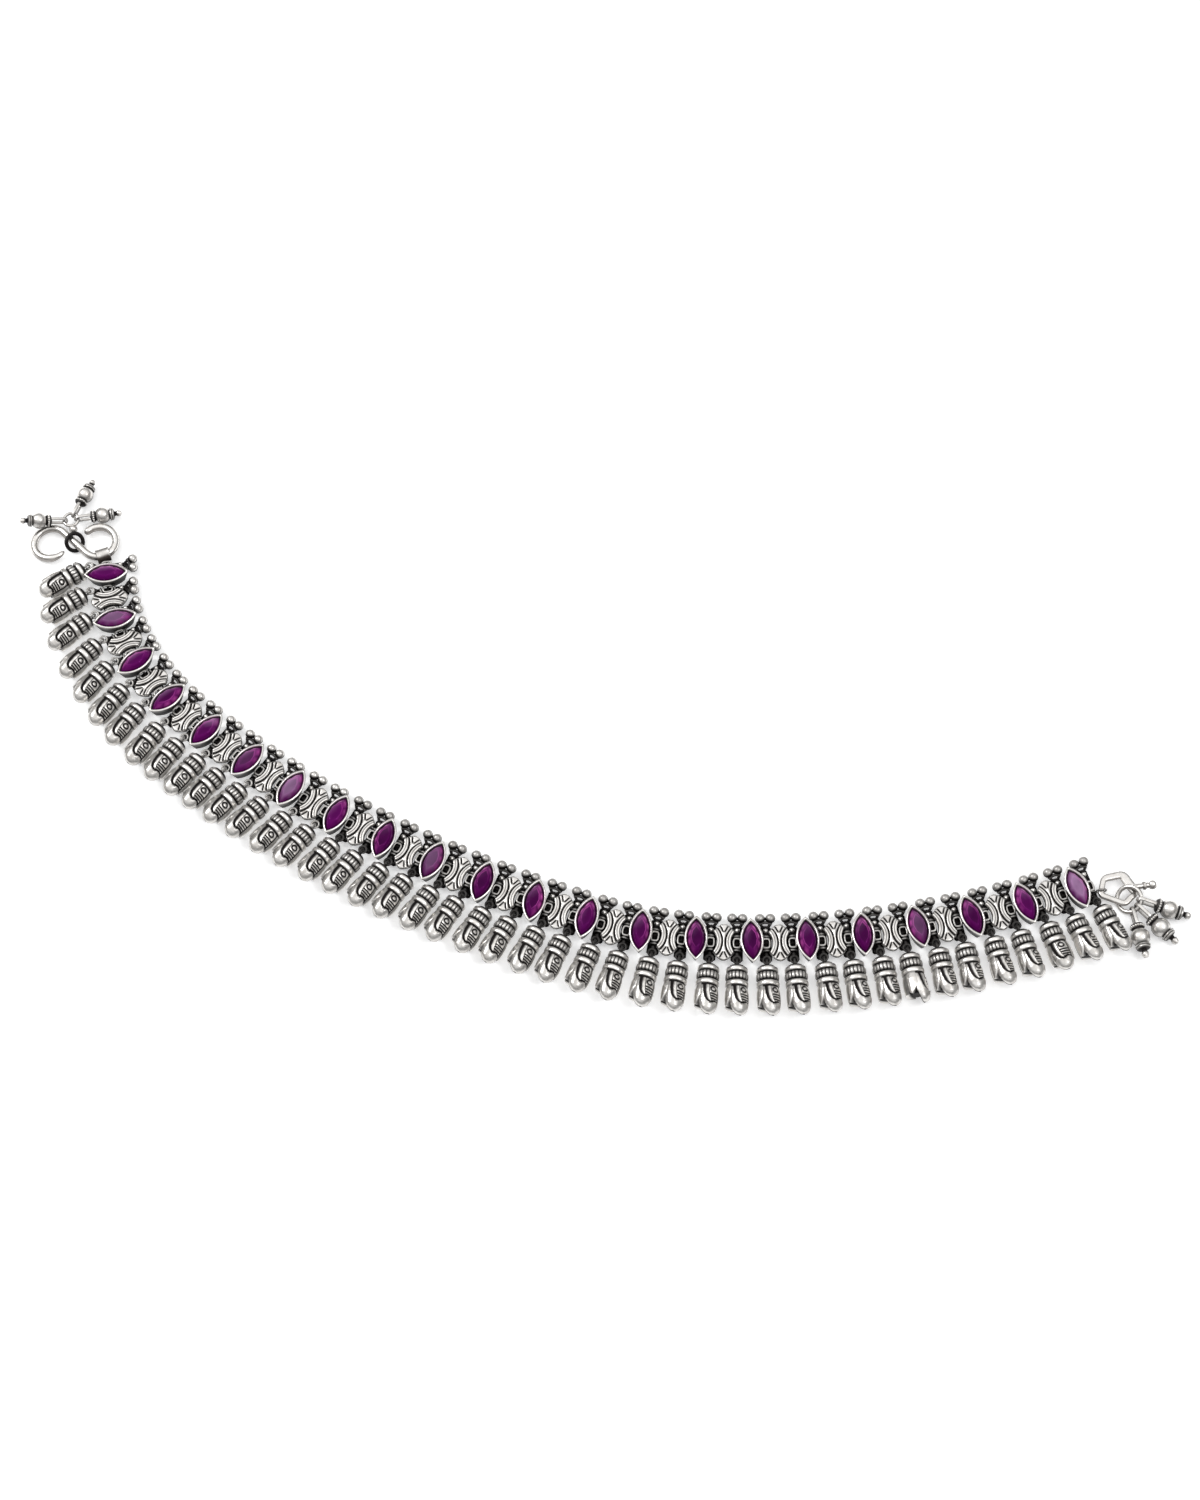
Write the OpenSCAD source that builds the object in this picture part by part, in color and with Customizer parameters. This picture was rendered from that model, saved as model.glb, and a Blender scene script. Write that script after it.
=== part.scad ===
// Silver anklet lying open: set marquise stones and axe-head links on cross links that carry tulip drops.
// The band runs left to right in a shallow arc, the balls on its inner side and the drops on its outer side.

/* [Band] */
// Number of stones along the band
stone_count = 22; // [22:1:22]
// Length of band that one setting takes up
stone_step = 5.6; // [5.4:0.1:6]
// Length of band that one axe-head link takes up
link_step = 5.2; // [5.1:0.1:6]
// Height of the cross bars above the surface
bar_z = 1.3; // [1.3:0.1:1.6]
// Thickness of the square cross bars
bar_t = 0.6; // [0.5:0.05:0.6]
// Width of the metal in the ring ears that go round the bars
ear_wire = 0.36; // [0.3:0.02:0.4]
// Radius of the hole in a ring ear
ear_hole = 0.58; // [0.55:0.01:0.6]

/* [Settings] */
// Length of a setting over its two points
collet_len = 9; // [8:0.1:9.2]
// Width of a setting across its waist
collet_w = 4.4; // [4:0.1:4.6]
// Height of a setting
collet_h = 3.9; // [3.6:0.1:4.4]
// How much each side of a setting draws in from rim to foot
collet_draft = 0.85; // [0.6:0.05:1]
// Thickness of the polished rim
rim_t = 0.4; // [0.3:0.05:0.5]
// Height of a stone's table above the rim
stone_rise = 0.6; // [0.3:0.05:0.8]

/* [Axe-head links] */
// Length of an axe-head link over its two blades
axe_len = 7.5; // [6.6:0.1:7.6]
// Width across the blade corners
axe_w = 4.2; // [3.8:0.1:4.3]
// Width at the waist
axe_waist = 2.7; // [2.4:0.1:3]
// Distance from the middle to the blade corners
axe_corner = 2.1; // [1.8:0.1:2.3]
// Thickness of the plate
axe_t = 0.8; // [0.6:0.1:1]
// Height of the raised bands along the hollow sides
axe_band_h = 0.25; // [0.15:0.05:0.35]

/* [Cross links] */
// Diameter of a granulation ball
ball_d = 1.95; // [1.6:0.05:1.95]
// Distance between the two balls
ball_pitch = 2.02; // [2:0.01:2.1]
// Distance of the ball row from the middle of the band
ball_row = 5.3; // [5:0.1:5.6]
// Distance of the drop's eye from the middle of the band
eye_row = 3.5; // [3.4:0.1:3.8]
// Height of the drop's eye above the surface
eye_z = 2.2; // [2:0.05:2.2]

/* [Tulip drops] */
// Wire of the drop's ring and of the eye that it hangs in
loop_wire = 0.42; // [0.36:0.02:0.44]
// Diameter of the bud at its widest
bud_d = 4.8; // [4.2:0.1:4.8]
// Length of a drop from its ring to the tip of its lip
drop_len = 11; // [10.6:0.1:11.2]
// Diameter of the three collar rings
collar_d = 4.5; // [4:0.1:4.5]

/* [Clasp] */
// Wire of the S-hook
hook_wire = 1.35; // [1.2:0.05:1.4]
// Radius of the S-hook's loops at the middle of the wire
hook_r = 3.5; // [3.3:0.1:3.6]
// Diameter of a spindle drop
spindle_d = 3.8; // [3.4:0.1:3.9]
// Radius of the end ring at the middle of its wire
end_ring_r = 2.5; // [2.3:0.1:2.6]

/* [Hidden] */
$fn = 32;
fine = 64;
small = 16;
unit_count = 2 * stone_count - 1;
link_count = unit_count + 1;
silver = [0.78, 0.77, 0.75];
purple = [0.36, 0.04, 0.36];
// Where the first cross bar lies, so that the whole part stands centred on the origin
band_start = [-98.99, 39.06];
// How the band lies: number of the piece along the band, its heading in degrees
bends = [[0, -84], [3, -62], [7, -40], [10, -36], [14, -30], [18, -25], [24, -18], [28, -5], [32, 4], [42, 19]];
// How each setting is turned on the band, in degrees
stone_turn = [0, -6, 5, -4, -4, -7, -1, 3, 6, -2, 3, 7, 1, 5, 3, 3, 1, -2, 5, 7, 5, 3];
// How the drops hang from the band: number of the cross link, degrees away from square
swings = [[0, 29], [1, 26], [4, 20], [8, 2], [11, -10], [19, -12], [26, -6], [30, 0], [34, 2], [38, -2], [43, 4]];
// How the drops are turned on their own axis: number of the cross link, degrees
spins = [[0, 26], [5, 31], [9, 26], [20, 31], [35, 31], [36, 66], [37, 31], [40, 31], [41, 4], [42, 31], [43, 31]];

function numbered(name, i) = str(name, i < 10 ? "0" : "", i);
function along(a) = [cos(a), sin(a)];
function heading(k) = lookup(k, bends);
function step_of(k) = k % 2 == 0 ? stone_step : link_step;
// The cross bars stand at the corners of a line of straight steps, one step for each setting and link
joints = [for (k = 0, p = band_start; k <= unit_count; p = p + step_of(k) * along(heading(k)), k = k + 1) p];
function bar_heading(k) =
    k == 0 ? heading(0) : k == unit_count ? heading(k - 1) : (heading(k - 1) + heading(k)) / 2;

module at_piece(k, turn = 0) {
    middle = (joints[k] + joints[k + 1]) / 2;
    translate([middle[0], middle[1], 0]) rotate(heading(k) + turn) children();
}

module at_bar(k) {
    translate([joints[k][0], joints[k][1], bar_z]) rotate(bar_heading(k)) children();
}

// A flat ring of square metal, hole being its inner radius
module flat_ring(hole, metal, t) {
    translate([0, 0, -t / 2]) difference() {
        cylinder(h = t, r = hole + metal);
        translate([0, 0, -t]) cylinder(h = 3 * t, r = hole);
    }
}

// The same ring standing upright along x
module upright_ring(hole, metal, t) {
    rotate([90, 0, 0]) flat_ring(hole, metal, t);
}

// The outline of a setting is where two circles cross; these are their radius and their offset
point_r = (pow(collet_len / 2, 2) + pow(collet_w / 2, 2)) / collet_w;
point_c = point_r - collet_w / 2;

// An upright piece of marquise outline, r1 and r2 being its circles' radii at the bottom and the top
module marquise(h, r1, r2) {
    intersection() {
        translate([-point_c, 0, 0]) cylinder(h = h, r1 = r1, r2 = r2, $fn = fine);
        translate([point_c, 0, 0]) cylinder(h = h, r1 = r1, r2 = r2, $fn = fine);
    }
}

seat_z = collet_h - 1.1;
wall_t = 0.45;
stub_t = 0.5;
stub_from = 1.4;
stub_to = 2.05;

module collet(i) {
    wall_r = function(z) point_r - collet_draft * (1 - z / collet_h) - wall_t;
    color(silver) at_piece(2 * (i - 1), stone_turn[i - 1]) {
        difference() {
            marquise(collet_h, point_r - collet_draft, point_r);
            translate([0, 0, -1]) marquise(seat_z + 1, wall_r(-1), wall_r(seat_z));
            translate([0, 0, seat_z]) marquise(collet_h, point_r - rim_t, point_r - rim_t);
        }
        for (side = [0, 1]) mirror([side, 0, 0]) {
            translate([stone_step / 2, 0, bar_z]) upright_ring(ear_hole, ear_wire, ear_wire);
            translate([stub_from, -stub_t / 2, bar_z - stub_t / 2]) cube([stub_to - stub_from, stub_t, stub_t]);
        }
    }
}

stone_gap = 0.1;
girdle_r = point_r - rim_t - stone_gap;
girdle_z = collet_h - 0.8;
girdle_t = 0.25;
table_z = collet_h + stone_rise;
culet_z = 1.5;
girdle_points = 16;

// Point t of a stone's outline, t running from 0 to 1 once round, starting at the outer tip
function outline(t) =
    let (reach = acos(point_c / girdle_r),
         side = t < 0.5 ? 1 : -1,
         a = side > 0 ? reach * (4 * t - 1) : reach * (3 - 4 * t))
    [side * (girdle_r * cos(a) - point_c), girdle_r * sin(a)];

function ring_at(count, shift, scale, z) =
    [for (i = [0:count - 1]) let (p = scale * outline((i + shift) / count)) [p[0], p[1], z]];

// Table, stars, kites and halves above the girdle; mains and halves below it, down to the culet
module stone(i) {
    n = girdle_points / 2;
    table = ring_at(n, 0, 0.62, table_z);
    stars = ring_at(n, 0.5, 0.84, collet_h + 0.32 * stone_rise);
    upper = ring_at(2 * n, 0, 1, girdle_z + girdle_t);
    lower = ring_at(2 * n, 0, 1, girdle_z);
    mains = ring_at(n, 0.5, 0.5, (girdle_z + culet_z) / 2 - 0.1);
    t0 = 0;
    s0 = n;
    u0 = 2 * n;
    l0 = 4 * n;
    m0 = 6 * n;
    culet = 7 * n;
    faces = concat(
        [[for (j = [n - 1:-1:0]) t0 + j]],
        [for (j = [0:n - 1]) [t0 + j, t0 + (j + 1) % n, s0 + j]],
        [for (j = [0:n - 1]) [t0 + j, s0 + j, u0 + 2 * j]],
        [for (j = [0:n - 1]) [t0 + j, u0 + 2 * j, s0 + (j + n - 1) % n]],
        [for (j = [0:n - 1]) [s0 + j, u0 + 2 * j + 1, u0 + 2 * j]],
        [for (j = [0:n - 1]) [s0 + j, u0 + (2 * j + 2) % (2 * n), u0 + 2 * j + 1]],
        [for (j = [0:2 * n - 1]) [u0 + j, u0 + (j + 1) % (2 * n), l0 + (j + 1) % (2 * n)]],
        [for (j = [0:2 * n - 1]) [u0 + j, l0 + (j + 1) % (2 * n), l0 + j]],
        [for (j = [0:n - 1]) [l0 + 2 * j, l0 + 2 * j + 1, m0 + j]],
        [for (j = [0:n - 1]) [l0 + 2 * j + 1, l0 + (2 * j + 2) % (2 * n), m0 + j]],
        [for (j = [0:n - 1]) [m0 + j, l0 + (2 * j + 2) % (2 * n), m0 + (j + 1) % n]],
        [for (j = [0:n - 1]) [m0 + j, m0 + (j + 1) % n, culet]]);
    color(purple) at_piece(2 * (i - 1), stone_turn[i - 1])
        polyhedron(concat(table, stars, upper, lower, mains, [[0, 0, culet_z]]), faces);
}

// Blades are round ends; the hollow sides are cut by two circles
blade_rise = axe_len / 2 - axe_corner;
blade_r = (pow(axe_w / 2, 2) + pow(blade_rise, 2)) / (2 * blade_rise);
hollow_depth = (axe_w - axe_waist) / 2;
hollow_r = (pow(axe_corner, 2) + pow(hollow_depth, 2)) / (2 * hollow_depth);
hollow_x = axe_waist / 2 + hollow_r;
plate_z = bar_z + bar_t / 2 + 0.2;
foot = [1.8, 3.4];
axe_ear_y = 1.45;
arm_to = 1.95;
band_t = 0.55;

module axe_outline() {
    difference() {
        for (end = [-1, 1]) translate([0, end * (axe_len / 2 - blade_r)]) circle(blade_r, $fn = fine);
        for (side = [-1, 1]) translate([side * hollow_x, 0]) circle(hollow_r, $fn = fine);
    }
}

module axe_link() {
    translate([0, 0, plate_z]) linear_extrude(axe_t) axe_outline();
    translate([0, 0, plate_z + axe_t / 2]) linear_extrude(axe_t / 2 + axe_band_h) intersection() {
        axe_outline();
        for (side = [-1, 1]) translate([side * hollow_x, 0]) circle(hollow_r + band_t, $fn = fine);
    }
    translate([-foot[0] / 2, -foot[1] / 2, 0]) cube([foot[0], foot[1], plate_z + 0.1]);
    for (side = [0, 1], end = [-1, 1]) mirror([side, 0, 0]) translate([0, end * axe_ear_y, bar_z]) {
        translate([link_step / 2, 0, 0]) upright_ring(ear_hole, ear_wire, ear_wire);
        translate([0, -ear_wire / 2, -ear_wire / 2]) cube([arm_to, ear_wire, ear_wire]);
    }
}

module axe_links() {
    color(silver) for (k = [1:2:unit_count - 1]) at_piece(k) axe_link();
}

// Eye and drop ring go through each other, each with its metal in the middle of the other's hole
eye_hole = 0.52;
eye_step = eye_hole + loop_wire / 2;
frame_hole = 0.62;
frame_y = ball_row - 0.85;

row_reach = ball_pitch / 2 - 0.3;
// Half widths of the shoulder below the ears, and where it starts and ends
shoulder = [bar_t / 2, 1.05];
shoulder_y = [-1.9, -2.95];
eye_lift = eye_z - bar_z;
post = 0.6;

module cross_link() {
    post_y = -eye_row + eye_hole + loop_wire - 0.1;
    translate([0, 0, -bar_t / 2]) linear_extrude(bar_t) difference() {
        union() {
            translate([-bar_t / 2, post_y]) square([bar_t, frame_y - post_y]);
            translate([0, frame_y]) circle(frame_hole + bar_t);
            translate([-row_reach, ball_row - bar_t / 2]) square([2 * row_reach, bar_t]);
            polygon([[-shoulder[0], shoulder_y[0]], [shoulder[0], shoulder_y[0]],
                     [shoulder[1], shoulder_y[1]], [-shoulder[1], shoulder_y[1]]]);
        }
        translate([0, frame_y]) circle(frame_hole);
    }
    translate([-bar_t / 2, post_y, -bar_t / 2]) cube([bar_t, post, bar_t / 2 + eye_lift + loop_wire / 2]);
    translate([0, -eye_row, eye_lift]) flat_ring(eye_hole, loop_wire, loop_wire);
    for (turn = [0, 180]) translate([0, ball_row, bar_t / 2 + 0.12])
        rotate(turn) translate([ball_pitch / 2, 0, 0]) sphere(d = ball_d, $fn = 24);
}

module cross_links() {
    color(silver) for (k = [0:link_count - 1]) at_bar(k) cross_link();
}

// Places along a drop, measured from the middle of its ring
cap_y = 0.4;
collar_y = 1.15;
bud_y = 5.2;
leaf_end = 9.2;
lip_in = 0.8;
// A drop leans up a little from its eye, so that its collar and its bud both lie on the surface
drop_tilt = asin((bud_d / 2 + 0.02 - eye_z) / (bud_y + 2.5));

// Half outline of the bud
bud_side = [[0, bud_y - 0.1], [2.05, bud_y - 0.1], [bud_d / 2 - 0.06, 6.3], [bud_d / 2, 7.6], [2.25, 9],
    [2, 10.1], [1.4, drop_len], [0, drop_len]];

module drop_core() {
    rotate_extrude() {
        polygon([[0, cap_y], [0.6, cap_y], [1.4, cap_y + 0.3], [1.9, collar_y], [1.75, bud_y], [0, bud_y]]);
        // The collar rings: where each starts, its height, how far it stands back
        for (ring = [[0, 0.95, 0.1], [1.2, 1.35, 0], [2.8, 1.2, 0]]) {
            start = collar_y + ring[0];
            edge = collar_d / 2 - ring[2];
            polygon([[0, start], [edge - 0.2, start], [edge, start + 0.2], [edge, start + ring[1] - 0.2],
                     [edge - 0.2, start + ring[1]], [0, start + ring[1]]]);
        }
        polygon([[0, bud_y], [1.75, bud_y], [1.95, 6.3], [1.9, 7.6], [1.3, leaf_end], [0, leaf_end]]);
    }
}

// Two broad petals stand front and back, two pointed leaves at the sides
module petals() {
    intersection() {
        rotate_extrude() polygon(bud_side);
        union() {
            rotate([90, 0, 0]) linear_extrude(bud_d, center = true)
                polygon([[-1.8, bud_y - 0.1], [1.8, bud_y - 0.1], [1.85, 7.8], [1.75, 9], [1.5, 10.1],
                         [0.9, drop_len], [-0.9, drop_len], [-1.5, 10.1], [-1.75, 9], [-1.85, 7.8]]);
            rotate([90, 0, 90]) linear_extrude(bud_d, center = true)
                polygon([[-1, bud_y - 0.1], [1, bud_y - 0.1], [0.95, 7.8], [0.1, leaf_end],
                         [-0.1, leaf_end], [-0.95, 7.8]]);
        }
    }
}

// Past the leaves' tips only the front petal goes on, as a lip
module tulip_drop(spin) {
    rotate([0, 90, 0]) flat_ring(eye_hole, loop_wire, loop_wire);
    rotate([90, 0, 0]) rotate(-spin) difference() {
        union() {
            drop_core();
            petals();
        }
        translate([-bud_d / 2, lip_in - bud_d, leaf_end]) cube([bud_d, bud_d, drop_len]);
    }
}

module tulip_drops() {
    color(silver) for (k = [0:link_count - 1]) at_bar(k)
        translate([0, -eye_row, eye_lift]) rotate(lookup(k, swings)) translate([0, -eye_step, 0])
            rotate([-drop_tilt, 0, 0]) tulip_drop(lookup(k, spins));
}

// Places and directions at the clasp end
hook_z = 1.55;
left_loop = band_start + [-12, 5.5];
right_loop = band_start + [-2.1, 5.6];
// Directions in which the S-hook's two free ends stop, seen from the middle of their own loops
left_free = -35;
right_free = 145;
loops_apart = norm(right_loop - left_loop);
loops_line = atan2(right_loop[1] - left_loop[1], right_loop[0] - left_loop[0]);
cross_angle = asin(2 * hook_r / loops_apart);
crossing = (left_loop + right_loop) / 2;
hook_dip = 0.095;
hook_sides = 12;
hook_turn = 8;
hook_leave = loops_line + 90 - cross_angle;
hook_path = concat(
    [for (a = [360 + left_free:-hook_turn:hook_leave]) left_loop + hook_r * along(a)],
    [for (a = [180 + hook_leave:hook_turn:360 + right_free]) right_loop + hook_r * along(a)]);
// Thickness along the wire: the left end is drawn out thin, the right end is rounded
hook_last = len(hook_path) - 1;
function hook_part(i) = min(lookup(i, [[0, 0.3], [1, 0.6], [6, 1]]), lookup(hook_last - i, [[0, 0.5], [1, 1]]));

// Round wire swept along the hook's path: one bow for each loop, a straight run from bow to bow.
// Left of the crossing the hook dips until its loop lies on the surface
module s_hook() {
    n = hook_sides;
    points = [for (i = [0:hook_last], k = [0:n - 1])
        let (run = hook_path[min(i + 1, hook_last)] - hook_path[max(i - 1, 0)],
             aside = [run[1], -run[0]] / norm(run),
             r = hook_part(i) * hook_wire / 2,
             a = 360 * k / n)
        [hook_path[i][0] + r * cos(a) * aside[0], hook_path[i][1] + r * cos(a) * aside[1],
         hook_z - hook_dip * max(0, crossing[0] - hook_path[i][0]) + r * sin(a)]];
    sides = [for (i = [0:hook_last - 1], k = [0:n - 1])
        [i * n + k, i * n + (k + 1) % n, (i + 1) * n + (k + 1) % n, (i + 1) * n + k]];
    caps = [[for (k = [n - 1:-1:0]) k], [for (k = [0:n - 1]) hook_last * n + k]];
    color(silver) polyhedron(points, concat(sides, caps));
}

barrel_hole = 1.12;
barrel_metal = 0.38;
barrel_len = 2.8;
barrel_side = -70;
// The first and the last ring stand beside the setting's ear, nearer to the drops
end_ear_y = 1.15;

// The barrel that the hook's right loop runs through, with the ring ear that holds it to the first cross bar
module clasp_eye() {
    seat = right_loop + (hook_r - 0.14) * along(barrel_side);
    color(silver) {
        translate([seat[0], seat[1], hook_z]) rotate(barrel_side) rotate([90, 0, 0]) difference() {
            cylinder(h = barrel_len, r = barrel_hole + barrel_metal, center = true);
            cylinder(h = 2 * barrel_len, r = barrel_hole, center = true);
        }
        at_bar(0) translate([0, -end_ear_y, 0]) {
            upright_ring(ear_hole, ear_wire, ear_wire);
            translate([-1.2, -ear_wire / 2, -ear_wire / 2]) cube([1.2 - ear_hole - 0.1, ear_wire, ear_wire]);
        }
    }
}

ring_wire = 0.6;
clasp_ring_r = 1.78;
clasp_ring_tilt = 42;
knot_d = 1.7;
hang_r = 1.5;
hang_wire = 0.55;
hang_z = 2.1;

knot = crossing + 2.6 * along(98);
hang_ring = crossing + 5.1 * along(102);

// A ring round the middle of the hook, with a knot and the little ring that carries the drops
module clasp_ring() {
    color(silver) {
        translate([crossing[0], crossing[1], hook_z]) rotate(135) rotate([0, -clasp_ring_tilt, 0])
            rotate_extrude() translate([clasp_ring_r, 0]) circle(d = ring_wire, $fn = small);
        translate([knot[0], knot[1], hang_z + 0.3]) sphere(d = knot_d);
        translate([hang_ring[0], hang_ring[1], hang_z])
            rotate_extrude() translate([hang_r, 0]) circle(d = hang_wire, $fn = small);
    }
}

bail_wire = 0.42;
bail_rise = 0.9;
bail_in = 0.85;
bail_len = 2.6;
cap_at = 2.75;
body_at = 3;

// A long ring standing upright, one end inside the ring that it hangs in, the other at the drop's cap
module bail() {
    flat = bail_rise + bail_wire / 2;
    hole = bail_rise - bail_wire / 2;
    ends = [-bail_in + bail_rise, bail_len + bail_in - bail_rise];
    rotate([90, 0, 0]) linear_extrude(bail_wire, center = true) difference() {
        union() {
            for (x = ends) translate([x, 0]) circle(flat);
            translate([ends[0], -flat]) square([ends[1] - ends[0], 2 * flat]);
        }
        for (x = ends) translate([x, 0]) circle(hole);
        translate([ends[0], -hole]) square([ends[1] - ends[0], 2 * hole]);
    }
}

// Cap ring, round body, second ring and a small tip with a ball, all turned about x
module spindle_body() {
    r = spindle_d / 2;
    translate([cap_at, 0, 0]) rotate([0, 90, 0]) {
        rotate_extrude() {
            square([0.5, 6.8]);
            polygon([[0, 0.2], [1.15, 0.2], [1.5, 0.4], [1.5, 1.3], [1.3, 1.5], [0, 1.5]]);
            intersection() {
                translate([0, body_at]) circle(r);
                translate([0, body_at - 1.7]) square([r, 3.4]);
            }
            polygon([[0, 4.5], [1.3, 4.5], [1.55, 4.75], [1.4, 5.4], [1.1, 5.7], [0.5, 6.2], [0, 6.2]]);
        }
        translate([0, 0, 6.75]) sphere(r = 0.75);
    }
}

// A spindle drop hung at a point, lying along a direction, its body resting at a height
module spindle(at, direction, size = 1, rest = 0.07) {
    dip = asin((at[2] - size * spindle_d / 2 - rest) / (size * (cap_at + body_at)));
    color(silver) translate(at) rotate(direction) rotate([0, dip, 0]) scale(size) {
        bail();
        spindle_body();
    }
}

// The drops at the clasp: direction, height that the body rests at; the first lies on the S-hook
clasp_ways = [[189, 1.8], [68, 0.07], [11, 0.07]];
clasp_drop_size = 0.88;

module clasp_drop(i) {
    way = clasp_ways[i - 1];
    at = hang_ring + hang_r * along(way[0]);
    spindle([at[0], at[1], hang_z], way[0], clasp_drop_size, way[1]);
}

// The chain's other end: an upright double ring, a five-sided link and the ring that the hook fastens into
tail = joints[unit_count] + end_ear_y * along(bar_heading(unit_count) - 90);
tail_way = 8;
link_hole = 0.8;
link_z = 1.55;
link_ring_x = 1.95;
link_way = -14;
link_t = 0.8;
link_at = tail + link_ring_x * along(tail_way) + 0.9 * along(link_way + 90);

module end_eye() {
    color(silver) translate([tail[0], tail[1], bar_z]) rotate(tail_way) {
        upright_ring(ear_hole, ear_wire, ear_wire);
        translate([link_ring_x, 0, link_z - bar_z]) upright_ring(link_hole, ear_wire, ear_wire);
    }
}

// Corner of the five-sided link, width of the side that starts there
link_corners = [[0, -1.8, 0.8], [4.9, -2.5, 0.9], [6.6, 0.3, 1.5], [3.4, 3.5, 1.1], [0, 1.8, 0.8]];

module end_link() {
    color(silver) translate([link_at[0], link_at[1], link_z - link_t / 2]) rotate(link_way) linear_extrude(link_t)
        for (i = [0:4]) {
            a = link_corners[i];
            b = link_corners[(i + 1) % 5];
            run = [b[0] - a[0], b[1] - a[1]];
            w = i == 4 ? 0.8 : a[2];
            translate([a[0], a[1]]) {
                circle(d = max(w, link_corners[(i + 4) % 5][2]));
                rotate(atan2(run[1], run[0])) translate([0, -w / 2]) square([norm(run), w]);
            }
        }
}

end_ring_at = link_at + [5.03, -2.74];
end_ring_z = 1.85;
end_ring_way = -60;
end_ring_tilt = 35;
end_ring_wire = 0.7;
end_knot_way = 124;

// Point of the end ring in a direction measured round its own middle
function on_end_ring(a) =
    let (x = end_ring_r * cos(a), y = end_ring_r * sin(a))
    [end_ring_at[0] + x * cos(end_ring_way) - y * cos(end_ring_tilt) * sin(end_ring_way),
     end_ring_at[1] + x * sin(end_ring_way) + y * cos(end_ring_tilt) * cos(end_ring_way),
     end_ring_z + y * sin(end_ring_tilt)];

module end_ring() {
    peg = on_end_ring(end_knot_way);
    color(silver) {
        translate([end_ring_at[0], end_ring_at[1], end_ring_z]) rotate(end_ring_way) rotate([end_ring_tilt, 0, 0])
            rotate_extrude() translate([end_ring_r, 0]) circle(d = end_ring_wire, $fn = small);
        translate(peg) rotate(8) rotate([0, 90, 0]) {
            cylinder(h = 3.6, d = 0.9);
            translate([0, 0, 3.8]) sphere(d = 1.7);
        }
    }
}

// The three drops at the end ring: place round the ring, direction
end_ways = [[-20, -80], [15, -46], [49, -16]];

module end_drop(i) {
    spindle(on_end_ring(end_ways[i - 1][0]), end_ways[i - 1][1]);
}

axe_links();
cross_links();
tulip_drops();
clasp_eye();
s_hook();
clasp_ring();
end_eye();
end_link();
end_ring();
for (i = [1:3]) {
    clasp_drop(i);
    end_drop(i);
}
for (i = [1:stone_count]) {
    collet(i);
    stone(i);
}
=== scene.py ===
# Silver anklet with marquise stones and tulip drops, lying open on a pale table.
# Sizes in the dictionaries are millimetres, angles are degrees; meshes are made in metres at the end.
import math

import bmesh
import bpy
import mathutils
import numpy as np
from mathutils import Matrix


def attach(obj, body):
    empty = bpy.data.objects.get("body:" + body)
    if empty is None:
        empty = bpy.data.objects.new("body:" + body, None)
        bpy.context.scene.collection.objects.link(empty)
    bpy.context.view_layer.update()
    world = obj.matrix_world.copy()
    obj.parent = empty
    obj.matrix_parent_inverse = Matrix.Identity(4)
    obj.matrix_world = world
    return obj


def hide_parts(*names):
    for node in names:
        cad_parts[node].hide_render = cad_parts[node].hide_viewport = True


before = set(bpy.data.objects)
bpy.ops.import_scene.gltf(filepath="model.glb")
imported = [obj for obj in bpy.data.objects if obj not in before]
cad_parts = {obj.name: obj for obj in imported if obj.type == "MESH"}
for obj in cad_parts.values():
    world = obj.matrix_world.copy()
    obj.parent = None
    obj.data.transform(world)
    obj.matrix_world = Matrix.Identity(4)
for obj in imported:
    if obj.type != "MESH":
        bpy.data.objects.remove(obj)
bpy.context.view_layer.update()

millimetre = 0.001                # in metres
print("frame loaded:", len(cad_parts), "nodes")

# where everything on the band lies; a table has rows of (number along the band, value)
band = {
    "start": (-98.99, 39.06),     # first cross bar
    "stones": 22,
    "stoneStep": 5.6,             # length of band per setting
    "linkStep": 5.2,              # length of band per axe-head link
    "barZ": 1.3,                  # height of the cross bars
    "bends": ((0, -84), (3, -62), (7, -40), (10, -36), (14, -30), (18, -25), (24, -18), (28, -5), (32, 4),
              (42, 19)),          # heading of each setting or link
    "stoneTurn": (0, -6, 5, -4, -4, -7, -1, 3, 6, -2, 3, 7, 1, 5, 3, 3, 1, -2, 5, 7, 5, 3),
    "swings": ((0, 29), (1, 26), (4, 20), (8, 2), (11, -10), (19, -12), (26, -6), (30, 0), (34, 2), (38, -2),
               (43, 4)),          # how far each drop swings on the table
    "spins": ((0, 26), (5, 31), (9, 26), (20, 31), (35, 31), (36, 66), (37, 31), (40, 31), (41, 4), (42, 31),
              (43, 31)),          # how far each drop is turned about its own length
    "leftLinks": 15,              # links and drops from the clasp on that are brighter
}


def lookUp(k, table):
    # straight lines between the table's rows, flat past its ends
    rows = np.array(table, float)
    return np.interp(k, rows[:, 0], rows[:, 1])


def along(angle):
    # the direction (cos angle, sin angle)
    return np.stack([np.cos(np.radians(angle)), np.sin(np.radians(angle))], -1)


# the band is a chain of straight units: each ends at its start + its length * along(its heading)
units = np.arange(2 * band["stones"] - 1)
headings = lookUp(units, band["bends"])
steps = np.where(units % 2 == 0, band["stoneStep"], band["linkStep"])
joints = np.vstack([[0, 0], np.cumsum(steps[:, None] * along(headings), 0)]) + band["start"]
middles = (joints[1:] + joints[:-1]) / 2
barHeadings = np.concatenate([headings[:1], (headings[1:] + headings[:-1]) / 2, headings[-1:]])
links = np.arange(len(joints))


def atHeight(points, z):
    # rows of (x, y) made (x, y, z), with one height or one for each row
    return np.column_stack([points, np.broadcast_to(z, len(points))])


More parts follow.
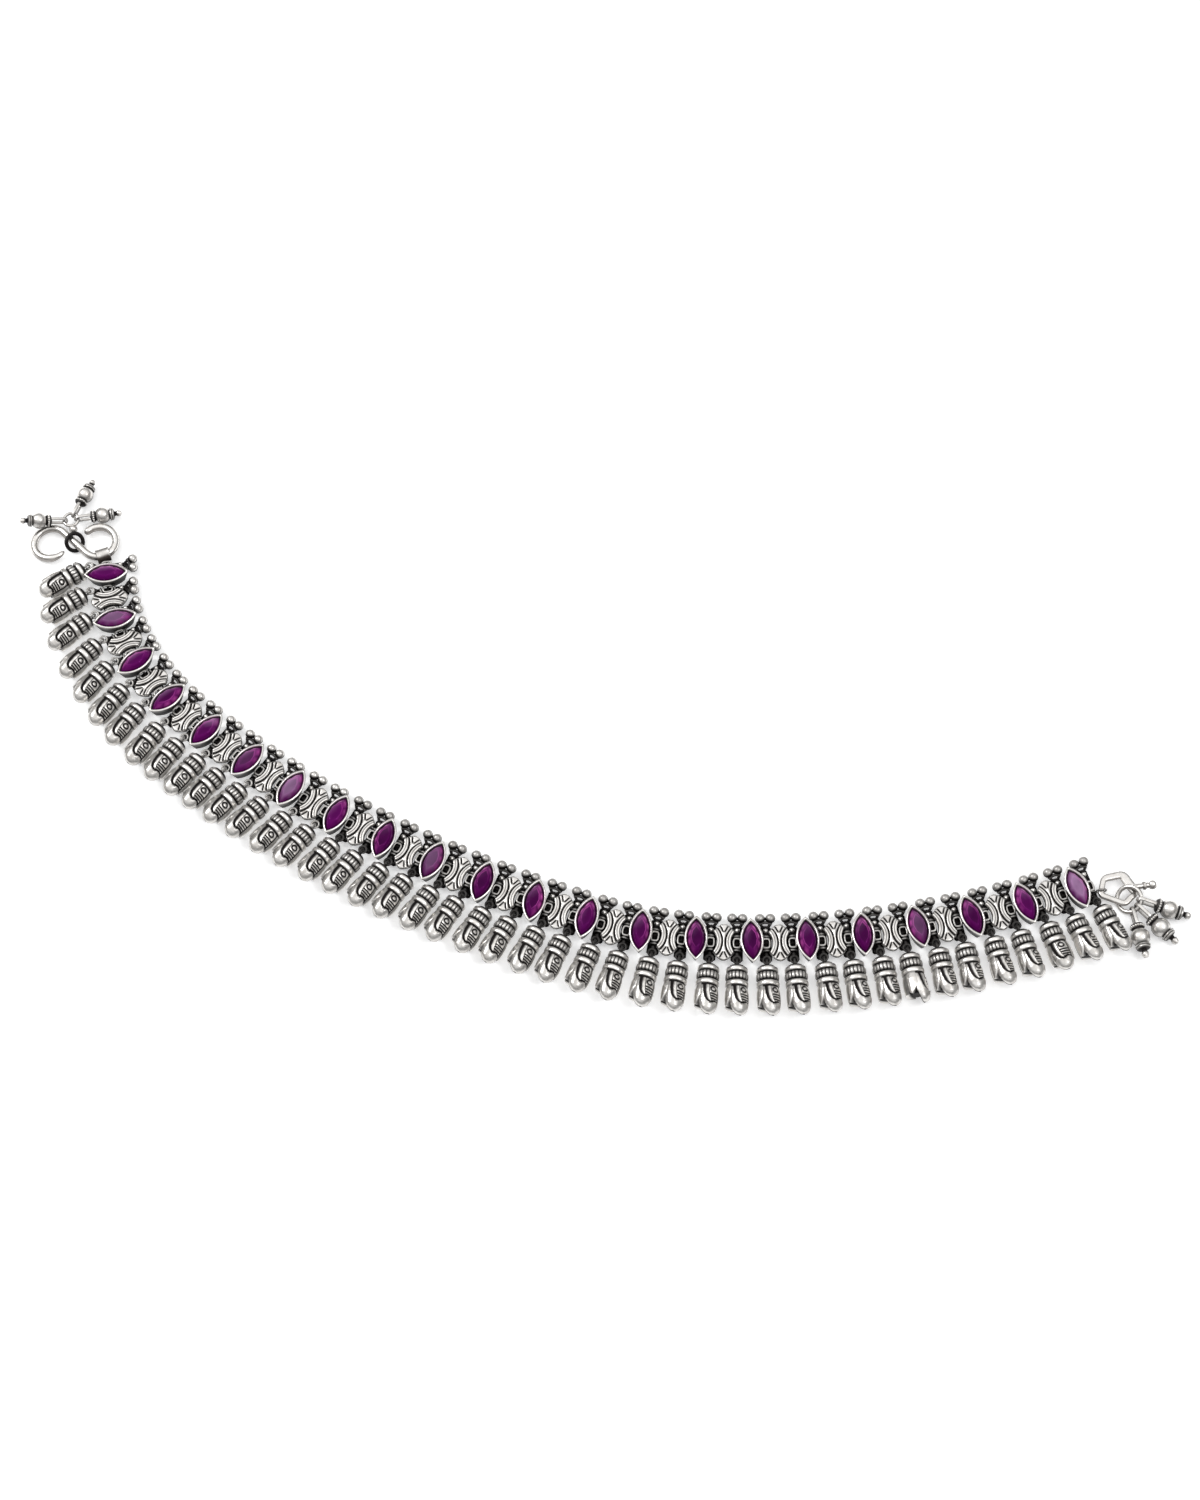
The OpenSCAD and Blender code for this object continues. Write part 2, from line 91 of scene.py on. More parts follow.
# turning and placing
def turn(axis, angle):
    # rotation matrices about x, y or z, one per angle
    a = np.radians(np.atleast_1d(np.asarray(angle, float)))
    c, s, o, l = np.cos(a), np.sin(a), np.zeros_like(a), np.ones_like(a)
    rows = {
        "x": (l, o, o, o, c, -s, o, s, c),
        "y": (c, o, s, o, l, o, -s, o, c),
        "z": (c, -s, o, s, c, o, o, o, l),
    }
    return np.stack(rows[axis], -1).reshape(-1, 3, 3)


def places(points, turns):
    # spots for a shape: points and rotation matrices, as many of one as of the other
    return {"at": np.atleast_2d(points).astype(float), "turn": turns}


def fixed(point, *turns):
    # one place: a point with turns about x, y or z, the last given done first
    whole = turn("z", 0)
    for t in turns:
        whole = whole @ t
    return places(point, whole)


def within(outer, inner):
    # a place given inside another one: outer point + outer turn * inner point, and both turns multiplied
    at = outer["at"] + np.einsum("nij,nj->ni", outer["turn"], inner["at"])
    return {"at": at, "turn": outer["turn"] @ inner["turn"]}


def atPieces(ks, extra=0.0):
    # the places of settings or links by their numbers along the band, each turned by its heading + extra
    return places(atHeight(middles[ks], 0), turn("z", headings[ks] + extra))


def atBars(ks):
    # the places of cross bars by their numbers along the band
    return places(atHeight(joints[ks], band["barZ"]), turn("z", barHeadings[ks]))


# surfaces
def grid(points, patinaAndShade, wrapU=False, wrapV=False):
    # points[i, j] is the surface at parameters u_i, v_j; quads join each point with its neighbours
    n, m = points.shape[:2]
    ids = np.arange(n * m).reshape(n, m)
    if wrapU:
        ids = np.vstack([ids, ids[:1]])
    if wrapV:
        ids = np.hstack([ids, ids[:, :1]])
    quads = np.stack([ids[:-1, :-1], ids[1:, :-1], ids[1:, 1:], ids[:-1, 1:]], -1).reshape(-1, 4)
    tone = np.broadcast_to(patinaAndShade, (n, m)).reshape(-1)
    return {"co": points.reshape(-1, 3), "quads": quads, "patinaAndShade": tone.astype(float)}


def moved(surface, *at):
    # point + at
    return {**surface, "co": surface["co"] + np.array(at, float)}


def swung(surface, axis, angle):
    # rotation matrix * point, about an axis through the origin
    return {**surface, "co": surface["co"] @ turn(axis, angle)[0].T}


def tube(path, radius, sides, patinaAndShade=0.0, closed=False, high=None, square=1.0):
    # a section carried along a path: centre + radius * cos(a) * side + high * sin(a) * up, up kept near the
    # z axis; square below 1 fills the section's corners: |cos a|^square and |sin a|^square with their signs
    path = np.asarray(path, float)
    run = np.roll(path, -1, 0) - np.roll(path, 1, 0) if closed else np.gradient(path, axis=0)
    run /= np.linalg.norm(run, axis=1, keepdims=True)
    steep = np.abs(run).max(0)
    lead = np.eye(3)[2 if steep[2] < 0.95 else 1 if steep[1] < 0.95 else 0]
    side = np.cross(run, lead)
    side /= np.linalg.norm(side, axis=1, keepdims=True)
    up = np.cross(side, run)
    r = np.broadcast_to(radius, len(path))[:, None, None]
    h = r if high is None else high
    a = np.arange(sides) * 2 * np.pi / sides
    c, s = (np.sign(w) * np.abs(w) ** square for w in (np.cos(a), np.sin(a)))
    points = path[:, None] + r * c[None, :, None] * side[:, None] + h * s[None, :, None] * up[:, None]
    tone = np.broadcast_to(patinaAndShade, len(path)).astype(float)
    if not closed:
        ends = np.broadcast_to(path[[0, -1]][:, None], (2, sides, 3))
        points = np.concatenate([ends[:1], points, ends[1:]])
        tone = np.concatenate([tone[:1], tone, tone[-1:]])
    return grid(points, tone[:, None], wrapU=closed, wrapV=True)


def ring(r, wire, count, sides, patinaAndShade):
    # a torus in the xy plane: a tube along r * along(a)
    path = r * along(np.linspace(0, 360, count, endpoint=False))
    return tube(atHeight(path, 0), wire / 2, sides, patinaAndShade, True)


def roundGrid(r, z, tone, closed=False):
    # (r cos a, r sin a, z) for radii and heights by row and by angle a
    a = np.arange(r.shape[1]) * 2 * np.pi / r.shape[1]
    return grid(np.stack([r * np.cos(a), r * np.sin(a), z], -1), tone, wrapU=closed, wrapV=True)


def lathe(profile, count, patinaAndShade, closed=False):
    # a profile of (radius, height) rows turned about z
    r, z = np.array(profile, float).T[:, :, None] * np.ones(count)
    return roundGrid(r, z, np.reshape(patinaAndShade, (-1, 1)), closed)


def ball(d, count, rows, shadeBelow):
    # the half circle (d / 2 cos t, d / 2 sin t) turned about z, with painted shade under the given share of
    # its radius
    t = np.radians(np.linspace(-90, 90, rows + 1))
    profile = np.column_stack([d / 2 * np.cos(t), d / 2 * np.sin(t)])
    return lathe(profile, count, np.clip((shadeBelow - np.sin(t)) / 0.5, 0, 1))


def slab(outline, low, high, patinaAndShade, edge):
    # a flat plate: the outline at its low and high faces, drawn in by its edge, closed to its middle
    outline = np.asarray(outline, float)
    middle = outline.mean(0)
    away = outline - middle
    inset = away * (1 - edge / np.linalg.norm(away, axis=1, keepdims=True))
    rows = [(0 * away, low), (inset, low), (away, low + edge)]
    rows += [(away, high - edge), (inset, high), (0 * away, high)]
    return grid(np.stack([atHeight(middle + p, z) for p, z in rows]), patinaAndShade, wrapV=True)


def bar(a, b, thick, patinaAndShade=0.3):
    # a short rod, a + t * (b - a), with drawn-in ends
    a, b = np.array(a, float), np.array(b, float)
    t = np.array([0, 0.02, 0.1, 0.9, 0.98, 1])[:, None]
    return tube(a + t * (b - a), thick / 2 * np.array([0.6, 0.9, 1, 1, 0.9, 0.6]), 8, patinaAndShade)


ear = {"hole": 0.58, "wire": 0.36, "y": 1.15}    # y is where the ears of the two ends sit on their bars


def earRing(x, y=0.0, z=0.0, patinaAndShade=0.5):
    # the ring that goes round a cross bar: a flat ring stood up along x
    flat = ring(ear["hole"] + ear["wire"] / 2, ear["wire"], 20, 6, patinaAndShade)
    return moved(swung(flat, "x", 90), x, y, z)


# meshes
def readAll(items, key, each=1, kind=float):
    # one property of all points, corners or faces of a mesh as an array
    values = np.empty(len(items) * each, kind)
    items.foreach_get(key, values)
    return values


def addValues(mesh, name, values):
    # one number for each point, under a name that a material can read
    mesh.attributes.new(name, "FLOAT", "POINT").data.foreach_set("value", np.asarray(values, np.float32))


def weld(co, faces, tones):
    # one shape in one mesh, doubles merged and faces turned outwards; tones are its named values per point
    mesh = bpy.data.meshes.new("shape")
    mesh.from_pydata(np.asarray(co).tolist(), [], faces)
    for name, values in tones.items():
        addValues(mesh, name, values)
    bm = bmesh.new()
    bm.from_mesh(mesh)
    bmesh.ops.remove_doubles(bm, verts=bm.verts, dist=1e-4)
    bmesh.ops.dissolve_degenerate(bm, edges=bm.edges, dist=1e-5)
    bmesh.ops.recalc_face_normals(bm, faces=bm.faces)
    bm.to_mesh(mesh)
    bm.free()
    shape = {
        "co": readAll(mesh.vertices, "co", 3).reshape(-1, 3),
        "loops": readAll(mesh.loops, "vertex_index", kind=int),
        "starts": readAll(mesh.polygons, "loop_start", kind=int),
        "tones": {name: readAll(mesh.attributes[name].data, "value") for name in tones},
    }
    bpy.data.meshes.remove(mesh)
    return shape


def joined(*surfaces):
    # several surfaces as one shape
    shift = np.cumsum([0] + [len(s["co"]) for s in surfaces])
    quads = np.vstack([s["quads"] + k for s, k in zip(surfaces, shift)])
    patinaAndShade = np.concatenate([s["patinaAndShade"] for s in surfaces])
    return weld(np.vstack([s["co"] for s in surfaces]), quads.tolist(), {"patinaAndShade": patinaAndShade})


def repeat(shape, spots):
    # the shape at every place at once: turn * point + place
    n = len(spots["at"])
    co = np.einsum("nij,mj->nmi", spots["turn"], shape["co"]) + spots["at"][:, None]
    k = np.arange(n)[:, None]
    return {"co": co.reshape(-1, 3), "loops": (shape["loops"] + k * len(shape["co"])).ravel(),
            "starts": (shape["starts"] + k * len(shape["loops"])).ravel(),
            "tones": {name: np.tile(values, n) for name, values in shape["tones"].items()}}


def addObject(name, data):
    thing = bpy.data.objects.new(name, data)
    bpy.context.scene.collection.objects.link(thing)
    return thing


# painted shade: which sides of a piece are painted dark, for its normal (n_x, n_y, n_z), and below which
# height
paintedShade = {
    "sideFrom": 0.45, "sideFade": 0.5,      # of n_z, below which sides and undersides are painted with shade
    "slope": 0.45,                          # how much a slope towards -Y counts as facing up
    "frontFrom": 0.35, "frontFade": 0.35,   # of -n_y, above which the front is painted with shade
    "shadeBelowFade": 0.8,                         # millimetres below the piece's own height over which the painted shade under it fades in
}


def makePiece(name, shapes, material, nodes, smooth=True, crease=38, sideShade=0.6, low=0.0, frontShade=0.0):
    # one object from many shapes, riding on the part's only body; painted shade is added to each point's own
    # patina: the side setting is how dark its sides and underside are painted, the front setting how dark its
    # front is painted, and low the height in millimetres under which it is painted dark:
    # patina and shade = own patina + side * clip((sideFrom - n_z - slope * max(-n_y, 0)) / sideFade)
    # + clip((low - z) / the fade below) + front * clip((-n_y - frontFrom) / frontFade)
    points = np.cumsum([0] + [len(s["co"]) for s in shapes])
    corners = np.cumsum([0] + [len(s["loops"]) for s in shapes])
    co = np.concatenate([s["co"] for s in shapes]) * millimetre
    loops = np.concatenate([s["loops"] + k for s, k in zip(shapes, points)])
    starts = np.concatenate([s["starts"] + k for s, k in zip(shapes, corners)])
    mesh = bpy.data.meshes.new(name)
    for items, key, values in ((mesh.vertices, "co", co), (mesh.loops, "vertex_index", loops),
                               (mesh.polygons, "loop_start", starts)):
        items.add(len(values))
        items.foreach_set(key, values.ravel())
    mesh.update(calc_edges=True)
    mesh.validate()
    facing = readAll(mesh.vertices, "normal", 3).reshape(-1, 3)
    # painted shade by the normal and the height, added to the patina
    t = paintedShade
    lift = facing[:, 2] + t["slope"] * np.maximum(-facing[:, 1], 0)
    shade = sideShade * np.clip((t["sideFrom"] - lift) / t["sideFade"], 0, 1)
    shade += np.clip((low - co[:, 2] / millimetre) / t["shadeBelowFade"], 0, 1)
    shade += frontShade * np.clip((-facing[:, 1] - t["frontFrom"]) / t["frontFade"], 0, 1)
    for label in shapes[0]["tones"]:
        values = np.concatenate([s["tones"][label] for s in shapes])
        addValues(mesh, label, np.clip(values + shade, 0, 1) if label == "patinaAndShade" else values)
    if smooth:
        mesh.polygons.foreach_set("use_smooth", np.ones(len(mesh.polygons), bool))
        mesh.set_sharp_from_angle(angle=math.radians(crease))
    mesh.materials.append(material)
    piece = addObject(name, mesh)
    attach(piece, "root")
    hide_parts(*nodes)
    triangles = sum(len(p.vertices) - 2 for p in mesh.polygons)
    print("piece", name, len(mesh.vertices), "points", triangles, "triangles")


# shader nodes
def newGroup(name, ins, outs):
    # sockets by name: inputs with their usual values, a number or a colour; outputs as Float or Color
    group = bpy.data.node_groups.new(name, "ShaderNodeTree")
    for label, value in ins.items():
        kind = "NodeSocketColor" if isinstance(value, tuple) else "NodeSocketFloat"
        group.interface.new_socket(label, in_out="INPUT", socket_type=kind).default_value = value
    for label, kind in outs.items():
        group.interface.new_socket(label, in_out="OUTPUT", socket_type="NodeSocket" + kind)
    return group, group.nodes.new("NodeGroupInput").outputs, group.nodes.new("NodeGroupOutput").inputs


def feed(tree, inputs, values):
    # each input by its name or number: a constant is set on it, another node's output is linked to it
    for key, value in values.items():
        if isinstance(value, (int, float, tuple)):
            inputs[key].default_value = value
        else:
            tree.links.new(value, inputs[key])


def mathNode(tree, kind, *values):
    node = tree.nodes.new("ShaderNodeMath")
    node.operation = kind
    feed(tree, node.inputs, dict(enumerate(values)))
    return node.outputs[0]


def noiseNode(tree, coords, scale, detail=2.0):
    node = tree.nodes.new("ShaderNodeTexNoise")
    feed(tree, node.inputs, {"Vector": coords, "Scale": scale, "Detail": detail})
    return node.outputs["Fac"]


def mixColours(tree, factor, a, b):
    node = tree.nodes.new("ShaderNodeMix")
    node.data_type = "RGBA"
    feed(tree, node.inputs, {0: factor, 6: a, 7: b})
    return node.outputs[2]


def pointValue(tree, name):
    # a value that the mesh carries at each point
    node = tree.nodes.new("ShaderNodeAttribute")
    node.attribute_name = name
    return node.outputs["Fac"]


# every metal piece carries a value per point for its patina and painted shade, 0 on rubbed high spots, 1 in
# dark recesses and where shade is painted
def buildPatinaGroup():
    # dark = clip(patina and painted shade + uneven * (noise - 0.5)), made fuller: 1 - (1 - dark)^1.8
    # colour = mix(mix of bright and warm by broad noise, dark), metal = 1 - 0.45 dark, grain = fine noise,
    # roughness = low + (high - low) * max(dark, fine noise / 2)
    group, given, made = newGroup("silverPatina", {
        "Patina And Shade": 0.0, "Uneven": 0.4, "Scale": 900.0, "Bright": (0.8, 0.79, 0.77, 1),
        "Warm": (0.62, 0.58, 0.52, 1), "Dark": (0.02, 0.02, 0.022, 1), "Rough Low": 0.2, "Rough High": 0.5,
    }, {"Color": "Color", "Roughness": "Float", "Grain": "Float", "Metal": "Float"})

    def maths(kind, *values):
        return mathNode(group, kind, *values)

    coords = group.nodes.new("ShaderNodeTexCoord").outputs["Object"]
    broad = noiseNode(group, coords, given["Scale"])
    fine = noiseNode(group, coords, maths("MULTIPLY", given["Scale"], 5.0), 3.0)
    both = maths("ADD", maths("MULTIPLY", broad, 0.7), maths("MULTIPLY", fine, 0.3))
    sway = maths("MULTIPLY", maths("SUBTRACT", both, 0.5), given["Uneven"])
    dark = maths("MINIMUM", maths("MAXIMUM", maths("ADD", given["Patina And Shade"], sway), 0.0), 1.0)
    dark = maths("SUBTRACT", 1.0, maths("POWER", maths("SUBTRACT", 1.0, dark), 1.8))
    warmth = maths("SMOOTH_MIN", maths("MULTIPLY", broad, 1.1), 1.0, 0.2)
    tone = mixColours(group, warmth, given["Bright"], given["Warm"])
    tone = mixColours(group, maths("POWER", broad, 2.0), given["Bright"], tone)
    spread = maths("SUBTRACT", given["Rough High"], given["Rough Low"])
    share = maths("MAXIMUM", dark, maths("MULTIPLY", fine, 0.5))
    feed(group, made, {
        "Color": mixColours(group, dark, tone, given["Dark"]), "Grain": fine,
        "Roughness": maths("MULTIPLY_ADD", spread, share, given["Rough Low"]),
        "Metal": maths("MULTIPLY_ADD", dark, -0.45, 1.0),
    })
    return group


patinaGroup = buildPatinaGroup()


def newMaterial(name):
    made = bpy.data.materials.new(name)
    made.use_nodes = True
    tree = made.node_tree
    return made, tree, tree.nodes["Principled BSDF"].inputs


def silverMaterial(name, values, grain):
    # the patina group with its own values; grain is how strongly the fine noise roughens the surface
    made, tree, shader = newMaterial(name)
    effect = tree.nodes.new("ShaderNodeGroup")
    effect.node_tree = patinaGroup
    feed(tree, effect.inputs, {**values, "Patina And Shade": pointValue(tree, "patinaAndShade")})
    lift = tree.nodes.new("ShaderNodeBump")
    feed(tree, lift.inputs, {"Height": effect.outputs["Grain"], "Strength": grain,
                             "Distance": 0.1 * millimetre})
    feed(tree, shader, {
        "Base Color": effect.outputs["Color"], "Roughness": effect.outputs["Roughness"],
        "Metallic": effect.outputs["Metal"], "Normal": lift.outputs["Normal"], "Specular IOR Level": 0.12,
    })
    return made


agedSilver = silverMaterial("agedSilver", {
    "Bright": (0.92, 0.9, 0.87, 1), "Warm": (0.69, 0.63, 0.57, 1), "Dark": (0.013, 0.011, 0.011, 1),
    "Uneven": 0.3, "Scale": 700.0, "Rough Low": 0.24, "Rough High": 0.5,
}, 0.3)
brightSilver = silverMaterial("brightSilver", {
    "Bright": (0.93, 0.91, 0.88, 1), "Warm": (0.73, 0.67, 0.61, 1), "Dark": (0.06, 0.043, 0.034, 1),
    "Uneven": 0.25, "Scale": 500.0, "Rough Low": 0.18, "Rough High": 0.42,
}, 0.25)

# the stones' colours from their body to their pale painted reflections, and the tint of their gloss
purple = {
    "body": (0.105, 0.002, 0.1, 1), "deep": (0.015, 0.0002, 0.018, 1), "cloud": (0.11, 0.003, 0.09, 1),
    "facetReflection": (0.62, 0.09, 0.44, 1), "paleReflection": (0.48, 0.3, 0.49, 1), "gloss": (0.65, 0.12, 0.62, 1),
    "ior": 1.35,
}


def stoneMaterial():
    # values per point: "depth" is 1 on the table's middle, a second value marks the pale inner outline, a
    # painted reflection of the facets, and "pale" the painted reflections on the tables and the painted
    # glints; the body's colour is mixed with deep by depth, with cloud by noise / 2, with the facet
    # reflection's colour by that second value and with the pale reflection's colour by pale * (0.6 noise +
    # 0.6); roughness = 0.06 noise + 0.03
    made, tree, shader = newMaterial("purpleStone")
    coords = tree.nodes.new("ShaderNodeTexCoord").outputs["Object"]
    noise = noiseNode(tree, coords, 420.0, 3.0)
    tone = mixColours(tree, pointValue(tree, "depth"), purple["body"], purple["deep"])
    tone = mixColours(tree, mathNode(tree, "MULTIPLY", noise, 0.5), tone, purple["cloud"])
    tone = mixColours(tree, pointValue(tree, "facetReflection"), tone, purple["facetReflection"])
    uneven = mathNode(tree, "MULTIPLY_ADD", noise, 0.6, 0.6)
    paleReflection = mathNode(tree, "MULTIPLY", pointValue(tree, "pale"), uneven)
    feed(tree, shader, {
        "Base Color": mixColours(tree, paleReflection, tone, purple["paleReflection"]), "Specular Tint": purple["gloss"],
        "Roughness": mathNode(tree, "MULTIPLY_ADD", noise, 0.06, 0.03), "IOR": purple["ior"],
    })
    return made


purpleStone = stoneMaterial()
print("materials ready")

# the camera of the photograph: looking down at 65 degrees, from in front of the band's middle
view = {
    "target": (2.21, -1.94, 0.0),  # on the table
    "distance": 600.0,
    "elevation": 65.0,
    "halfWidth": 0.2,             # tangent of half the view's width
}


def makeCamera():
    # it stands at target + distance * (0, -cos elevation, sin elevation)
    tilt = math.radians(view["elevation"])
    away = view["distance"] * np.array([0, -math.cos(tilt), math.sin(tilt)])
    lens = bpy.data.cameras.new("camera")
    lens.sensor_fit = "HORIZONTAL"
    lens.sensor_width = 36.0
    lens.lens = lens.sensor_width / 2 / view["halfWidth"]
    lens.clip_start = 0.01
    lens.clip_end = 20.0
    camera = addObject("camera", lens)
    camera.location = ((np.array(view["target"]) + away) * millimetre).tolist()
    camera.rotation_euler = (math.pi / 2 - tilt, 0.0, 0.0)
    bpy.context.scene.camera = camera


makeCamera()

# the pale table that it lies on
floor = {
    "halfSize": 3.0, "count": 9,  # metres, points a side
    "shades": ((0.93, 0.93, 0.93, 1), (0.96, 0.96, 0.96, 1)),
    "glow": 0.36,
}


def makeFloor():
    # a level square grid just under the anklet
    line = np.linspace(-floor["halfSize"], floor["halfSize"], floor["count"])
    x, y = np.meshgrid(line, line, indexing="ij")
    surface = grid(np.stack([x, y, np.zeros_like(x)], -1), 0.0)
    mesh = bpy.data.meshes.new("table")
    mesh.from_pydata(surface["co"].tolist(), [], surface["quads"].tolist())
    made, tree, shader = newMaterial("paleTable")
    coords = tree.nodes.new("ShaderNodeTexCoord").outputs["Object"]
    feed(tree, shader, {
        "Base Color": mixColours(tree, noiseNode(tree, coords, 3.0), *floor["shades"]), "Roughness": 0.9,
        "Specular IOR Level": 0.1, "Emission Color": (1, 1, 1, 1), "Emission Strength": floor["glow"],
    })
    mesh.materials.append(made)
    addObject("table", mesh)


makeFloor()

# soft light from two sides and a room that polished metal mirrors
lights = {
    "key": ((-0.75, 0.3, 0.9), (0.4, 0.3), 4.5),     # place and size in metres, watts; from the upper left
    "fill": ((0.6, -0.25, 1.0), (0.35, 0.35), 2.0),
    "sky": 1.15,                                     # brightness of the room overhead
    "room": ((0.0, 0.1), (0.4, 0.25), (0.65, 0.62), (0.86, 1.0)),    # its shade by the sine of the height
}


def softLight(name):
    # a rectangle of light that looks at the middle of the table
    at, size, watts = lights[name]
    lamp = bpy.data.lights.new(name, "AREA")
    lamp.shape = "RECTANGLE"
    lamp.size, lamp.size_y = size
    lamp.energy = watts
    thing = addObject(name, lamp)
    thing.location = at
    thing.rotation_euler = mathutils.Vector([-v for v in at]).to_track_quat("-Z", "Y").to_euler()


def makeWorld():
    # a room that is white overhead and dark at the horizon, so that polished metal is bright on its tops only
    world = bpy.data.worlds.new("studio")
    world.use_nodes = True
    tree = world.node_tree
    split = tree.nodes.new("ShaderNodeSeparateXYZ")
    feed(tree, split.inputs, {0: tree.nodes.new("ShaderNodeTexCoord").outputs["Generated"]})
    ramp = tree.nodes.new("ShaderNodeValToRGB")
    feed(tree, ramp.inputs, {0: split.outputs["Z"]})
    stops = ramp.color_ramp.elements
    room = lights["room"]
    stops[0].position = room[0][0]
    stops[1].position = room[-1][0]
    for height, _ in room[1:-1]:
        stops.new(height)
    for stop, (_, shade) in zip(stops, room):
        stop.color = (shade, shade, shade, 1)
    feed(tree, tree.nodes["Background"].inputs, {"Color": ramp.outputs[0], "Strength": lights["sky"]})
    bpy.context.scene.world = world


softLight("key")
softLight("fill")
makeWorld()
bpy.context.scene.view_settings.view_transform = "Standard"
print("camera, table and lights ready")

# settings: a wall of marquise outline that widens upwards to a rounded polished rim
collet = {
    "length": 9.0, "width": 4.4, "height": 3.9,
    "draft": 0.85,                # how far the wall draws in towards the foot
    "rim": 0.4, "wall": 0.45,
    "around": 64,
    "stub": (1.4, 2.05),          # where the ears' stubs run
}
collet["circle"] = ((collet["length"] / 2) ** 2 + (collet["width"] / 2) ** 2) / collet["width"]
collet["offset"] = collet["circle"] - collet["width"] / 2


def marquise(radius, count):
    # two arcs that cross: x = +-(r cos a - offset), y = r sin a, for each radius r
    r = np.atleast_1d(radius)[:, None]
    t = np.arange(count) / count
    side = np.where(t < 0.5, 1.0, -1.0)
    share = np.where(t < 0.5, 4 * t - 1, 3 - 4 * t)
    a = np.arccos(np.clip(collet["offset"] / r, -1, 1)) * share
    return side * (r * np.cos(a) - collet["offset"]), r * np.sin(a)


def colletShape():
    # marquise outlines as rows of (drawn in from the outline, height, patina, with painted shade on the lower
    # wall):
    # up the outside, over the rim and down the inside, with a ring ear at both sides
    c = collet
    h = c["height"]
    inside = c["draft"] + c["wall"]
    rows = np.array([(c["draft"], 0, 1), (c["draft"] * 0.62, h * 0.38, 0.8), (c["draft"] * 0.3, h * 0.7, 0.3),
                     (0.1, h - 0.52, 0.25), (0.05, h - 0.42, 0.6), (-0.04, h - 0.3, 0.1),
                     (-0.06, h - 0.12, 0), (0.04, h, 0), (0.2, h + 0.04, 0), (0.33, h - 0.02, 0),
                     (0.4, h - 0.14, 0.3), (0.42, h - 1.0, 1), (inside, h - 1.2, 1), (inside, 0.05, 1)])
    x, y = marquise(c["circle"] - rows[:, 0], c["around"])
    points = np.stack([x, y, np.broadcast_to(rows[:, 1][:, None], x.shape)], -1)
    parts = [grid(points, rows[:, 2][:, None], wrapU=True, wrapV=True)]
    near, far = c["stub"]
    for side in (-1, 1):
        parts.append(earRing(side * band["stoneStep"] / 2, 0, band["barZ"], 0.95))
        parts.append(bar((side * near, 0, band["barZ"]), (side * far, 0, band["barZ"]), 0.5))
    return joined(*parts)


stoneIds = ["%02d" % (k + 1) for k in range(band["stones"])]
stonePlaces = atPieces(2 * np.arange(band["stones"]), np.array(band["stoneTurn"]))
makePiece("settings", [repeat(colletShape(), stonePlaces)], agedSilver,
          ["collet_" + n for n in stoneIds], low=2.7)

# stones: table, stars, kites and halves above the girdle, mains below it, with flat facets
stone = {
    "points": 16,                 # round the girdle
    "gap": 0.1, "girdleZ": 3.1, "girdleT": 0.25, "tableZ": 4.5, "culetZ": 1.5,
    "starAt": (0.84, 4.09), "mainAt": (0.5, 2.2),    # share of the rim, height
    # nested rings of the table as (share of the rim, depth, painted facet reflection), so that the painted
    # reflection can follow its outline
    "rings": ((0.0, 1.0, 0.0), (0.3, 1.0, 0.0), (0.5, 0.75, 0.0), (0.555, 0.5, 0.4), (0.585, 0.4, 0.8),
              (0.62, 0.25, 0.1)),
    "pale": {1: 0.3, 5: 0.06, 6: 0.36, 9: 0.2, 18: 0.15, 21: 0.55},  # stones with a painted reflection on their table
    "deeper": (7, 20),            # the stones between these are darker, with weaker painted glints
    "glintWay": 125,              # painted glints lie towards the upper left of the view
    "seed": 7,
}


def stoneShape():
    # the rim's points, scaled and set at each level; a face joins points by their numbers round the levels
    n = stone["points"] // 2
    k = len(stone["rings"])
    x, y = marquise(collet["circle"] - collet["rim"] - stone["gap"], 4 * n)
    rim = np.column_stack([x[0], y[0]])

    def ids(row, count):
        # numbers of a row's points, called with places round it
        return lambda i: row * n + i % count

    co = np.vstack([atHeight(size * rim[::4], stone["tableZ"]) for size, _, _ in stone["rings"]] + [
        atHeight(stone["starAt"][0] * rim[2::4], stone["starAt"][1]),
        atHeight(rim[::2], stone["girdleZ"] + stone["girdleT"]), atHeight(rim[::2], stone["girdleZ"]),
        atHeight(stone["mainAt"][0] * rim[2::4], stone["mainAt"][1]), [[0, 0, stone["culetZ"]]]])
    depth = np.repeat([r[1] for r in stone["rings"]] + [0.15, 0.35, 0.8], [n] * (k + 1) + [4 * n, n + 1])
    facetReflection = np.repeat([r[2] for r in stone["rings"]] + [0.9, 0.0], [n] * (k + 1) + [5 * n + 1])
    table, star, upper, lower, main = (ids(k - 1, n), ids(k, n), ids(k + 1, 2 * n), ids(k + 3, 2 * n),
                                       ids(k + 5, n))
    j = np.arange(n)
    w = np.arange(2 * n)
    corners = [(ids(a, n)(j), ids(a, n)(j + 1), ids(a + 1, n)(j + 1), ids(a + 1, n)(j)) for a in range(k - 1)]
    corners += [
        (table(j), table(j + 1), star(j)), (table(j), star(j), upper(2 * j)),
        (table(j), upper(2 * j), star(j - 1)), (star(j), upper(2 * j + 1), upper(2 * j)),
        (star(j), upper(2 * j + 2), upper(2 * j + 1)), (upper(w), upper(w + 1), lower(w + 1)),
        (upper(w), lower(w + 1), lower(w)), (lower(2 * j), lower(2 * j + 1), main(j)),
        (lower(2 * j + 1), lower(2 * j + 2), main(j)), (main(j), lower(2 * j + 2), main(j + 1)),
        (main(j), main(j + 1), np.full(n, (k + 6) * n)),
    ]
    faces = [face for rows in corners for face in np.column_stack(rows).tolist()]
    return weld(co, faces, {"depth": depth, "facetReflection": facetReflection})


